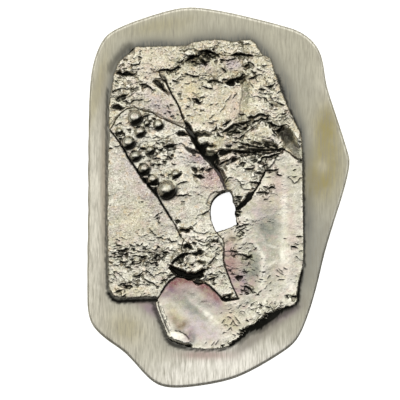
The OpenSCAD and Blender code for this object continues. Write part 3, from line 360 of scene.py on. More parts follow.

# Hollows and undercuts, black with patina and painted shade: black, depth, and the corners
HOLLOWS = [
    (0.95, 0.15, 1.15, 1.12, 0.5, 0.95, -0.1, 0.65, -0.75, 0.1, -1.05, -0.55, -1.2, -1.1, -1, -0.8,
     -0.6, -0.1, 0.1, 0.42, 0.9, 0.82),
    (0.95, 0.12, 6.9, 8.75, 8, 8.7, 8.9, 8.4, 9.35, 7.85, 9.1, 7.55, 7.8, 7.7, 7.2, 8),
    (0.9, 0.08, 4.7, 7.75, 5.8, 7.85, 7.2, 7.7, 7.6, 7.4, 6.7, 7.2, 5.4, 7.35),
    (0.9, 0.08, 2.5, 7.4, 3.8, 7.5, 4.85, 7.5, 5.1, 7.15, 4.1, 6.85, 3, 7.05),
    (0, 0.16, 1.25, 1.05, 0.4, 1, -0.5, 0.9, -1.3, 0.5, -1.75, -0.2, -1.85, -0.9, -1.4, -1.5, -1.2, -2,
     -0.9, -1.4, -0.3, -0.2, 0.6, 0.5, 1.4, 0.8),
    (0.6, 0.3, -0.6, 6.7, 0, 6.6, 0, 5.2, 0.3, 4.6, 0.8, 4, 1, 3.3, 0.9, 2.6, 0.6, 2.6, 0.3, 3.3, -0.1,
     4, -0.8, 4.9),
    (1, 0.3, -0.8, 7, -0.1, 6.7, -0.1, 5.6, -0.15, 4.8, 0.1, 4.3, 0, 3.9, -0.4, 4.3, -0.9, 4.9),
    (0.85, 0.3, -3.1, 8.1, -2.4, 8, -2.05, 7.3, -1.7, 6.95, -1, 6.85, -0.7, 6.6, -1.5, 6.2, -2.3, 6.5),
    (1, 0.35, -16.3, 19.55, -15.6, 19.9, -15.1, 19.6, -14.2, 19.85, -13.6, 19.55, -12.9, 19.4, -13.3,
     19.15, -14.6, 19.1, -15.4, 19.3),
    (0.95, 0.3, -17, 14.05, -16.5, 14.45, -15.9, 14.65, -15.4, 14.45, -14.8, 14, -15.4, 13.75, -16,
     13.85),
    (0.6, 0.15, -13.5, 17.1, -13, 17.2, -12.5, 17.1, -12.4, 16.85, -12.8, 16.65, -13.2, 16.7),
    (0.6, 0.15, -11.9, 17.8, -11.2, 17.7, -10.8, 17.35, -11.2, 17.3, -11.7, 17.45),
    (0.6, 0.2, -16, 15.5, -15.4, 15.8, -14.9, 15.7, -15.2, 15.2, -15.7, 15.2),
    (0.9, 0.4, -10.2, 18.2, -9.8, 18.55, -9.3, 18.4, -8.9, 17.9, -8.5, 17.2, -7.7, 16.15, -8.1, 16.4,
     -8.9, 17, -9.5, 17.4),
    (0.95, 0.3, -5.2, 21.9, -4.6, 22.2, -4.1, 22.5, -3.8, 22.3, -3.8, 21.8, -4.1, 21.5, -4.5, 21.7, -5,
     21.8),
    (0.6, 0.1, -5.3, 21.8, -4.4, 21.8, -4.2, 21.3, -4.7, 21.1, -5.3, 21.3),
    (0.5, 0.1, 4.4, 20.7, 4.8, 21.15, 5.3, 21.1, 5.4, 20.5, 5, 20.2, 4.5, 20.3),
    (1, 0.3, 1.3, 18.25, 1.8, 18.6, 2.6, 18.7, 3.2, 18.9, 3.1, 18.5, 2.4, 18.3, 2.1, 17.85, 1.6, 17.75),
    (1, 0.5, -5, 11.6, -4.7, 11.5, -4.4, 11.1, -4.15, 10.7, -4.1, 10, -4.6, 9.9, -4.9, 10.4, -5.05, 11),
    (1, 0.4, -6.7, 10.1, -6, 10.4, -5.4, 10.4, -5.1, 10.15, -4.5, 9.8, -5.4, 9.75, -6.2, 9.75),
    (0.9, 0.4, -4.4, 9.8, -3.5, 10.3, -3.1, 10.4, -2.7, 10.1, -2.2, 10.3, -1.9, 10.1, -1.1, 9.85, -1.6,
     9.7, -2.6, 9.6, -3.2, 9.5, -3.5, 9.2, -3.6, 8.6, -3.9, 8.7, -4.2, 9.2),
    (1, 0.5, -3.8, 8.5, -3.4, 8.4, -3.1, 8.6, -2.8, 8.3, -2.3, 8.5, -1.8, 8.6, -1.5, 8.25, -0.9, 8.3,
     -0.5, 8.15, -1, 8, -1.8, 7.9, -2, 7.5, -1.9, 7.1, -2.5, 6.6, -3.4, 7.6),
    (0.6, 0.3, -1.9, 7.4, -1.2, 7.3, -0.4, 7, -1, 6.8, -1.9, 6.8),
    (0.9, 0.3, -5.9, 8.45, -5.5, 8.15, -5.1, 7.9, -4.3, 7.6, -3.3, 7.35, -2.6, 7, -3.3, 6.95, -4, 6.9,
     -4.6, 7.1, -5.1, 7.6),
    (1, 0.4, 0, 7.2, 0.4, 7.6, 0.8, 7.55, 1.8, 7.4, 1.9, 7.2, 1.3, 7, 0.8, 6.7, 0.2, 6.6, 0, 6.8),
    (0.95, 0.3, 1.6, 5.5, 1.9, 5.6, 2.1, 6.2, 2.3, 6.35, 3.2, 6.2, 2.8, 5.9, 2.3, 5.6, 1.8, 5.4),
    (0.75, 0.05, 9, 10.3, 9.7, 10.9, 10.6, 10.9, 11.3, 10.5, 11.6, 9.6, 11.7, 9, 11.4, 8.7, 10.9, 8.5,
     10.4, 8.6, 9.9, 9.2, 9.5, 9.8),
    (0.46, 0.05, 8.9, 10.5, 9.6, 10.9, 10.3, 11, 11, 10.9, 11.4, 10.6, 11.6, 9.9, 11.7, 9.4, 11.9, 8.6,
     12.3, 7.9, 12.6, 7.2, 12.8, 6.4, 12.5, 6, 12, 6.2, 11.5, 6.8, 11.2, 7.4, 10.7, 7.8, 10.3, 8.3,
     10.1, 8.8, 9.9, 9.3, 9.4, 9.8, 9, 10.1),
    (0.9, 0.3, 7.1, 8.8, 7.6, 8.5, 8.5, 8.5, 9, 8.3, 9.4, 8.1, 9.1, 7.9, 9, 7.6, 8.2, 7.6, 7.6, 7.8,
     7.3, 8.1),
    (1, 0.4, -7.2, 3, -7, 3.3, -6.4, 3.6, -6.1, 3.9, -5.8, 4.1, -6, 3.6, -6.4, 3.25, -6.9, 3.05),
    (1, 0.3, -3.5, 3.45, -3.1, 3.65, -2.8, 3.55, -2.5, 3.3, -3, 3.15),
    (0.75, 0.2, -4.1, 4.7, -3.7, 4.8, -3.3, 4.6, -3.2, 4.2, -3.6, 4.1, -4, 4.3),
    (1, 0.3, -13.2, 4.6, -12.5, 4.3, -11.7, 4.3, -11.1, 4.2, -11, 3.9, -11.5, 3.5, -12, 3.4, -12.6, 4),
    (1, 0.3, -12.1, 3.2, -11.4, 3.05, -11, 3.1, -11.3, 2.8, -11.2, 2.4, -11.6, 2.2, -11.9, 2.7),
    (1, 0.3, -11.2, 2.4, -10.6, 2.75, -10.1, 2.75, -9.9, 2.4, -9.6, 2.4, -9.8, 2, -10.4, 2.1, -11.1,
     1.8),
    (1, 0.3, -11.1, 2, -10.6, 1.6, -10.2, 1.4, -9.7, 1.7, -9.6, 1, -9.6, 0.2, -9.9, 0.4, -10.4, 1,
     -10.9, 1.5),
    (1, 0.5, -6.3, -5.3, -6, -4.9, -5.2, -4.95, -4.7, -4.8, -4.4, -4.6, -4.1, -4.85, -4.5, -5, -4.7,
     -5.4, -5, -5.45, -5.3, -5.2),
    (1, 0.5, -5.55, -7.95, -5.4, -7.45, -4.9, -7.15, -4.5, -7.3, -4.3, -7.6, -4.1, -8, -4.5, -8.1, -4.8,
     -7.8, -5.2, -7.95),
    (1, 0.4, -4.6, -8.6, -4, -8.6, -3.4, -8.5, -3.1, -8.1, -2.8, -8.2, -2.3, -8.5, -2.6, -8.9, -3.3,
     -8.9, -3.6, -9.1, -4, -8.9),
    (0.95, 0.3, -1.4, -7.15, -1.1, -6.8, -0.8, -6.5, -0.5, -6.7, -0.2, -6.6, 0.2, -7, -0.1, -7.1, -0.5,
     -6.9),
    (0.9, 0.4, -3.4, -10, -3.1, -9.85, -2.8, -10, -2.2, -9.95, -2.1, -10.2, -2.6, -10.3, -3, -10.4),
    (1, 1, -7.7, -11, -7.5, -10.7, -7.1, -10.8, -6.7, -11, -6.3, -11.2, -6, -11.2, -5.7, -11.5, -5.3,
     -11.6, -5, -11.8, -4.2, -11.8, -3.5, -11.75, -3, -11.6, -2.6, -11.2, -2.3, -11.5, -2.6, -11.7,
     -2.4, -12.2, -2.9, -12.6, -3.5, -12.6, -4.2, -12.8, -4.8, -12.8, -5.3, -12.5, -6, -12.4, -6.6,
     -12.2, -6.9, -11.8, -7.2, -11.6),
    (0.8, 0.4, -3.9, -13.2, -3.6, -12.8, -3.1, -12.7, -2.8, -13, -2.3, -13.2, -2.7, -13.5, -3.2, -13.7,
     -3.6, -13.5),
    (1, 0.5, 0.3, -15.7, 0.8, -15.4, 1.3, -15.3, 2.2, -15, 1.8, -15.5, 1.9, -15.8, 2.4, -15.75, 3.1,
     -15.85, 2.2, -16, 1.2, -16.2, 0.6, -16.1),
    (1, 0.3, 4.2, -9.6, 4.5, -9.4, 4.6, -9.2, 5, -9, 5.2, -9.1, 4.9, -9.3, 4.6, -9.5),
    (0.55, 0.25, 2.7, -12.5, 3, -12.25, 3.7, -12.3, 3.5, -12.5, 3, -12.8),
    (0.25, 0.1, 1.7, -6.1, 2.4, -6, 2.9, -6.2, 2.8, -6.7, 2.3, -6.9, 1.8, -6.6),
    (1, 0.3, -8.2, -21.7, -7.7, -22.1, -7.1, -22.4, -6.4, -22.7, -5.8, -22.9, -5.1, -23.05, -4.5,
     -23.05, -4.2, -23.2, -4.4, -23.7, -5.4, -23.8, -6.6, -23.6, -7.6, -23.3, -8.2, -22.6),
    (0.9, 0.2, 2.55, -2.1, 2.75, -2.3, 2.9, -3, 2.6, -3, 2.4, -2.3),
]

# Raised lines, worn bright: width, height, shine, then x, y along the line
RIDGES = [
    (0.08, 0.06, 0.4, -0.75, 5.1, -0.5, 5.9), (0.08, 0.06, 0.35, -0.45, 4.9, -0.25, 5.5),
    (0.09, 0.08, 0.7, -1.7, 5.35, -1, 4.75, -0.35, 4.1, 0.05, 3.5),
    (0.1, 0.1, 0.9, -0.75, 7.45, -0.55, 7.75, -0.2, 7.7, -0.05, 7.4, -0.35, 7.15, -0.7, 7.3),
    (0.1, 0.14, 1, 8.2, 11.05, 8.7, 10.55, 9.3, 9.85), (0.1, 0.12, 1, 9.4, 9.7, 9.9, 8.8, 10.3, 8.2),
    (0.3, 0.3, 1, 11.5, 10.6, 12.1, 9.6, 12.4, 8.7, 12.8, 7.6),
    (0.15, 0.18, 1, -1.8, 18.55, -0.9, 18.95, 0, 18.8, 0.5, 18.3),
    (0.15, 0.18, 1, 1.7, 18.95, 2.7, 19.05, 3.4, 19.55, 4.1, 19.7),
    (0.12, 0.14, 1, -0.25, 11.6, -0.15, 11, 0.1, 10.5, 0.5, 10.1),
    (0.12, 0.14, 1, 5, 12.3, 5.8, 12.45, 6.4, 12.75, 7, 12.75),
    (0.1, 0.12, 1, 2.2, 7.7, 3.2, 7.65, 4.5, 7.7), (0.08, 0.14, 1, 6, 8.9, 6.6, 8.75, 7.3, 8.55),
    (0.08, 0.14, 1, 5, 8.4, 5.8, 8.2, 6.8, 8.05), (0.08, 0.14, 1, 7.6, 8.5, 8.1, 8.35, 8.7, 8.3),
    (0.08, 0.12, 1, 7.9, 8, 8.5, 7.95, 9, 7.8), (0.08, 0.12, 1, 2.5, 11.2, 3.2, 10.7, 3.9, 10.4),
    (0.08, 0.12, 1, 4, 10.5, 4.8, 11, 5.5, 11.5),
    (0.1, 0.12, 1, 3.3, 6.45, 3.9, 6.15, 4.3, 5.75, 4.45, 5.2),
    (0.12, 0.12, 1, 4.6, 11, 5.6, 11.6, 6.2, 11.9), (0.2, 0.25, 1, -4.9, 8.9, -4.3, 8.6, -3.8, 8.1),
    (0.1, 0.1, 1, -5.7, 10.55, -5, 10.25, -4.5, 9.95),
    (0.2, 0.22, 1, -10.5, 17.6, -10, 17.3, -9.6, 17.35),
    (0.1, 0.1, 1, -16.3, 15.7, -15.6, 16.2, -14.8, 16.4),
    (0.4, 0.14, 0.8, 5.6, -6.6, 6.2, -8, 6.7, -8.8, 7.1, -9.5, 6.9, -10.5, 6.75, -11.8, 6.3, -13.4),
    (0.16, 0.16, 1, -8.5, -13.5, -7.8, -12.8, -7.3, -12.35, -6.6, -12.3),
    (0.11, 0.14, 1, -9.1, -16.5, -8.63, -18.1, -8.2, -19.2, -7.75, -20.3, -7.5, -20.9),
    (0.1, 0.1, 1, -9.8, -16.6, -9.25, -18.35, -8.8, -19.45, -8.35, -20.55, -8, -21.3),
    (0.1, 0.14, 1, -4.2, -23.55, -2, -23.65, 0, -23.55, 1.2, -23.2),
    (0.16, 0.2, 1, 1.3, -23, 1.9, -22.5, 2.9, -22, 3.6, -21.4),
    (0.14, 0.2, 1, 4.3, -20.1, 5.5, -19.7, 6.3, -18.9, 7.2, -18.3, 8.4, -17.6, 9.6, -17),
    (0.12, 0.14, 1, 12.9, -11.3, 12.5, -12.8, 12.2, -14.4),
    (0.1, 0.1, 0.8, 13.1, 5, 13.1, 0, 13.2, -5, 13.2, -10),
    (0.14, 0.1, 0.8, -17.3, 9.6, -17.35, 4, -17.4, -4), (0.1, 0.12, 1, 1, -15.65, 1.6, -15.65),
    (0.16, 0.2, 1, 2.1, -15.3, 2.6, -15.5),
]

# Smooth raised lumps, worn bright: shine, rise, then the corners
LUMPS = [
    (1, 0.15, -7.6, -21.2, -7.1, -21, -6.5, -21.2, -5.8, -21.3, -5.3, -21.7, -4.9, -22, -4.5, -22.5,
     -4.6, -22.85, -5.2, -22.85, -5.9, -22.65, -6.5, -22.45, -7.1, -22.15, -7.6, -21.8),
]

# How rough and crumpled the metal is
ROUGH_PLACES = [
    # x, y, half length, half width, turn, crumple
    (-14.2, 18.5, 3.6, 5.4, 0, 0.9), (-9, 21.8, 3.8, 2.2, 0, 0.5), (-1, 23.4, 7.4, 1.6, 0, 0.9),
    (-4.6, 21.6, 2.4, 1.2, 15, 1), (0, 18.8, 9, 3.2, 0, 0.75), (7.6, 15.5, 3.6, 6, 20, 0.85),
    (-2, 13.5, 4, 3.5, 0, 0.55), (1.2, 10.6, 3.6, 1.6, 0, 0.8), (6.2, 12.6, 3.4, 0.9, 0, 0.8),
    (5.6, 8, 3.6, 0.7, 0, 0.7), (-12, 9.5, 4, 4.4, 0, 0.7), (-8, 6.5, 3.4, 3.6, 0, 0.7),
    (-5.5, 0.5, 3, 3.6, 0, 0.5), (-3.4, -8, 3.8, 4.4, 0, 0.8), (1, -12.8, 1.6, 3.4, 15, 0.8),
    (-12.2, -9.6, 6, 3.6, 0, 0.6), (-13, -14, 4.5, 1.8, 0, 0.6), (3.2, 4.2, 3.6, 3, 0, 0.45),
    (3.6, -4.8, 1.4, 1.6, 0, 1), (8.2, 4.6, 3, 2.6, 0, 0.5), (7, -17.4, 5.4, 1.6, 25, 0.7),
    (2, -19.8, 2.2, 2.2, 30, 0.7), (11.6, -10, 2, 6.4, 0, 0.15), (4.4, -10, 2.4, 3.4, 0, 0.6),
]
# Places worn or polished smooth
SMOOTH_PLACES = [
    # x, y, half length, half width, turn, how smooth
    (-3.4, -18.4, 4.6, 4.4, 0, 1), (7, 10.5, 2.2, 1.2, 0, 0.9), (-13.4, 1, 4, 6, 0, 0.9),
    (-16.5, -3, 1.5, 3, 0, 0.9), (-5.8, 6.6, 1.4, 2.4, 0, 0.9), (-4.4, -1.6, 1.6, 2.4, 0, 0.8),
    (10.6, -1, 2.8, 5, 0, 0.9), (8.2, -6, 2.6, 4, 0, 0.9), (0.4, 14.4, 3.4, 1.8, 10, 0.7),
    (-10.6, 18.6, 1.6, 2, 0, 0.7), (3.4, 3.6, 1.6, 1, 0, 0.7), (11.2, 8.6, 1.6, 2.4, 30, 1),
    (8.8, -13.8, 3, 2.2, 0, 0.9), (-14.6, -14.7, 2.6, 0.6, 0, 0.7),
]
ROUGH_FLOOR = 0.12
DISH_POLISH = 0.8
# Corners of the polished dish
DISH = (
    -9.6, -15.8, -8.3, -13.8, -6.6, -12.3, -4.2, -12.9, -2.2, -13.4, -0.4, -14.8, 0.9, -16.2, 1.2,
    -17.8, 0.2, -19.4, 0.3, -21.4, -0.6, -23.8, -4.4, -23.6, -7.6, -22)
WRINKLE_TRIES, WRINKLE_SEED = 1000, 11
PIT_TRIES, PIT_SEED = 1200, 13
FOLD_SEED = 200
CLOUD_CELLS = 256

# Fields of small overlapping folds
FOLDS = [
    # x, y, half length, half width, turn, pitch, height, black, run
    (-12.6, -9.2, 5.6, 2.7, 4, 0.43, 0.12, 0.95, 2.2), (-10.4, -2, 1.6, 3.2, 0, 0.4, 0.03, 0.35, 1.2),
    (-9.4, -6.6, 2.8, 1.2, -14, 0.4, 0.05, 0.5, 1.6), (-12.8, -12.6, 4.4, 1.6, -6, 0.95, 0.16, 0.35, 1),
    (-14.6, 17.8, 3, 4.6, 12, 0.8, 0.16, 0.35, 1), (-8, 19, 3.2, 1.8, 8, 0.9, 0.16, 0.4, 1.2),
    (7.6, 16.4, 2.6, 4.6, -24, 0.7, 0.12, 0.35, 1.2), (-3, 23.6, 5, 1.2, 6, 0.9, 0.18, 0.5, 1),
    (-3.6, 21.8, 2.4, 0.9, 20, 0.42, 0.1, 0.95, 0.8), (-8.6, 15.2, 1.2, 1.8, 0, 0.4, 0.04, 0.4, 1),
    (-9.6, 8.4, 4.4, 3.8, 6, 0.75, 0.18, 0.6, 1.2), (-3.4, -8.4, 3.4, 3.6, 8, 0.8, 0.2, 0.45, 1),
    (4.4, 4.6, 3, 2, 6, 0.7, 0.1, 0.3, 1.4), (7.4, -17.2, 4.4, 1.4, 40, 0.6, 0.13, 0.5, 1),
    (4.2, -9.6, 1.6, 2.6, 10, 0.5, 0.06, 0.35, 1.6),
]

# Broad soft dents and swells in the metal
SWELLS = [
    # x, y, half length, half width, turn, rise
    (11, 9, 2.4, 0.9, -60, -0.5), (-3.2, -18.8, 4.2, 3.6, 0, -0.19), (-6.1, -21.9, 1.4, 0.5, -22, 0.05),
    (8, -5, 1.8, 2.6, 0, -0.25), (5, -11, 1.3, 2.8, 0, -0.25), (10.2, -12, 1.6, 3, 0, 0.22),
    (-14, 1, 3, 5, 20, 0.2), (11.5, 0, 1.2, 4, 0, -0.15), (0.5, 14.5, 2.6, 2, 20, -0.2),
]
# Seams and edges in painted shade: half width, black, then x, y along the line
SHADES = [
    (0.17, 0.9, -9, -14.85, -8.35, -13.8, -7.5, -12.95, -6.7, -12.5, -5.8, -12.45),
    (0.12, 0.45, 3.9, 18.2, 3.6, 17.2, 3.7, 16, 3.3, 14.6, 3.3, 13.3),
    (0.1, 0.35, 4.9, 18, 4.5, 17, 4.7, 15.8, 4.4, 14.8),
    (0.11, 0.85, -9.5, -16.4, -9.38, -17.15, -8.98, -18.25, -8.53, -19.35, -8.08, -20.45, -7.75, -21.2),
    (0.08, 0.55, 1.2, 1.05, 0.4, 1, -0.5, 0.9, -1.3, 0.5, -1.75, -0.2, -1.85, -0.9, -1.5, -1.4),
    (0.13, 1, -0.55, -0.05, -0.15, 0.28, 0.35, 0.58, 0.9, 0.8),
    (0.11, 0.5, -17.4, 11, -16.2, 12.6, -14.6, 13.9, -12.6, 14.1, -10.6, 13.6),
    (0.14, 0.6, -10.8, 13.7, -9.4, 13, -8, 12.3, -6.4, 11.7, -5.3, 11.7),
    (0.14, 1, -17, 10.5, -16.1, 9.4, -15.1, 8.2),
    (0.2, 1, -15, 7.9, -14.1, 6.1, -13.2, 4.9, -12.1, 3.1, -11, 1.9, -10, 0.7),
    (0.18, 1, -10, 0.7, -9.5, 0.1, -8.8, -1.2, -8.2, -2.1, -7.4, -3.4),
    (0.1, 0.5, -7.4, -3.4, -6.4, -5, -6, -6.4),
    (0.15, 0.85, -8.3, 18.4, -7.8, 17.2, -7.4, 16.3, -6.6, 14.9, -6.1, 14.1, -5.9, 13.3, -5.4, 12.4),
    (0.34, 1, -5.1, 11.7, -4.6, 11, -4.2, 10.1, -3.6, 9.2),
    (0.2, 0.8, -9.2, 19.2, -8.6, 18.9, -8.2, 18.3), (0.22, 1, -7.9, -12.6, -7.2, -12.4, -6.5, -12.4),
    (0.16, 0.9, -2.1, -13.3, -1.2, -14.1, -0.4, -14.8, 0.3, -15.5),
    (0.11, 0.8, 0.8, -9.8, 1.2, -11.2, 1.9, -13.2, 2.95, -15.6),
    (0.12, 0.7, 0.3, -7, 0.9, -8.4, 0.9, -9.6), (0.16, 0.8, 1.4, 7.3, 2.6, 7.4, 4, 7.3),
    (0.12, 0.85, 4.6, 7.45, 6.2, 7.6, 7.6, 7.55, 9.4, 7.6), (0.16, 0.8, 9.4, 6.9, 8.6, 5.4, 7.4, 4.2),
    (0.14, 0.5, -17.3, -9, -17.3, -14), (0.25, 0.7, -16.9, -15.5, -14, -15.8, -10, -15.7),
]

# Paint of the metal, as shares of light it gives back
PAINTS = {
    "cream": (0.67, 0.61, 0.46),
    "pale": (0.61, 0.585, 0.51),
    # Worn silver, also laid as painted highlights
    "worn_and_highlight": (0.98, 0.95, 0.85),
    "ball": (0.29, 0.29, 0.23),
    "grey": (0.36, 0.36, 0.30),
    "slate": (0.26, 0.27, 0.235),
    "rose": (0.53, 0.38, 0.35),
    "red": (0.21, 0.085, 0.09),
    "lilac": (0.50, 0.43, 0.47),
    "purple": (0.30, 0.22, 0.27),
    "yellow": (0.66, 0.57, 0.36),
    "olive": (0.36, 0.33, 0.20),
    # Dark grey of painted shade
    "shade_grey": (0.10, 0.105, 0.105),
    # Olive of painted shade in dips
    "olive_shade": (0.27, 0.26, 0.18),
    "dusk": (0.40, 0.27, 0.28),
    "plate": (0.47, 0.45, 0.365),
    "plate_pale": (0.70, 0.67, 0.585),
    "plate_olive": (0.33, 0.285, 0.135),
    "plate_grey": (0.33, 0.325, 0.285),
    "plate_white": (0.88, 0.85, 0.78),
    # Black of tarnish and painted shade
    "shade_and_tarnish_black": (0.012, 0.012, 0.010),
    "brown": (0.25, 0.19, 0.13),
    "umber": (0.21, 0.18, 0.165),
}
SHEET_PAINT = {
    "top_sheet": "cream",
    "crest_sheet": "cream",
    "granule_strip": "pale",
    "ball": "ball",
    "middle_flap": "pale",
    "left_sheet": "pale",
    "base_sheet": "pale",
    "back_plate": "plate",
}
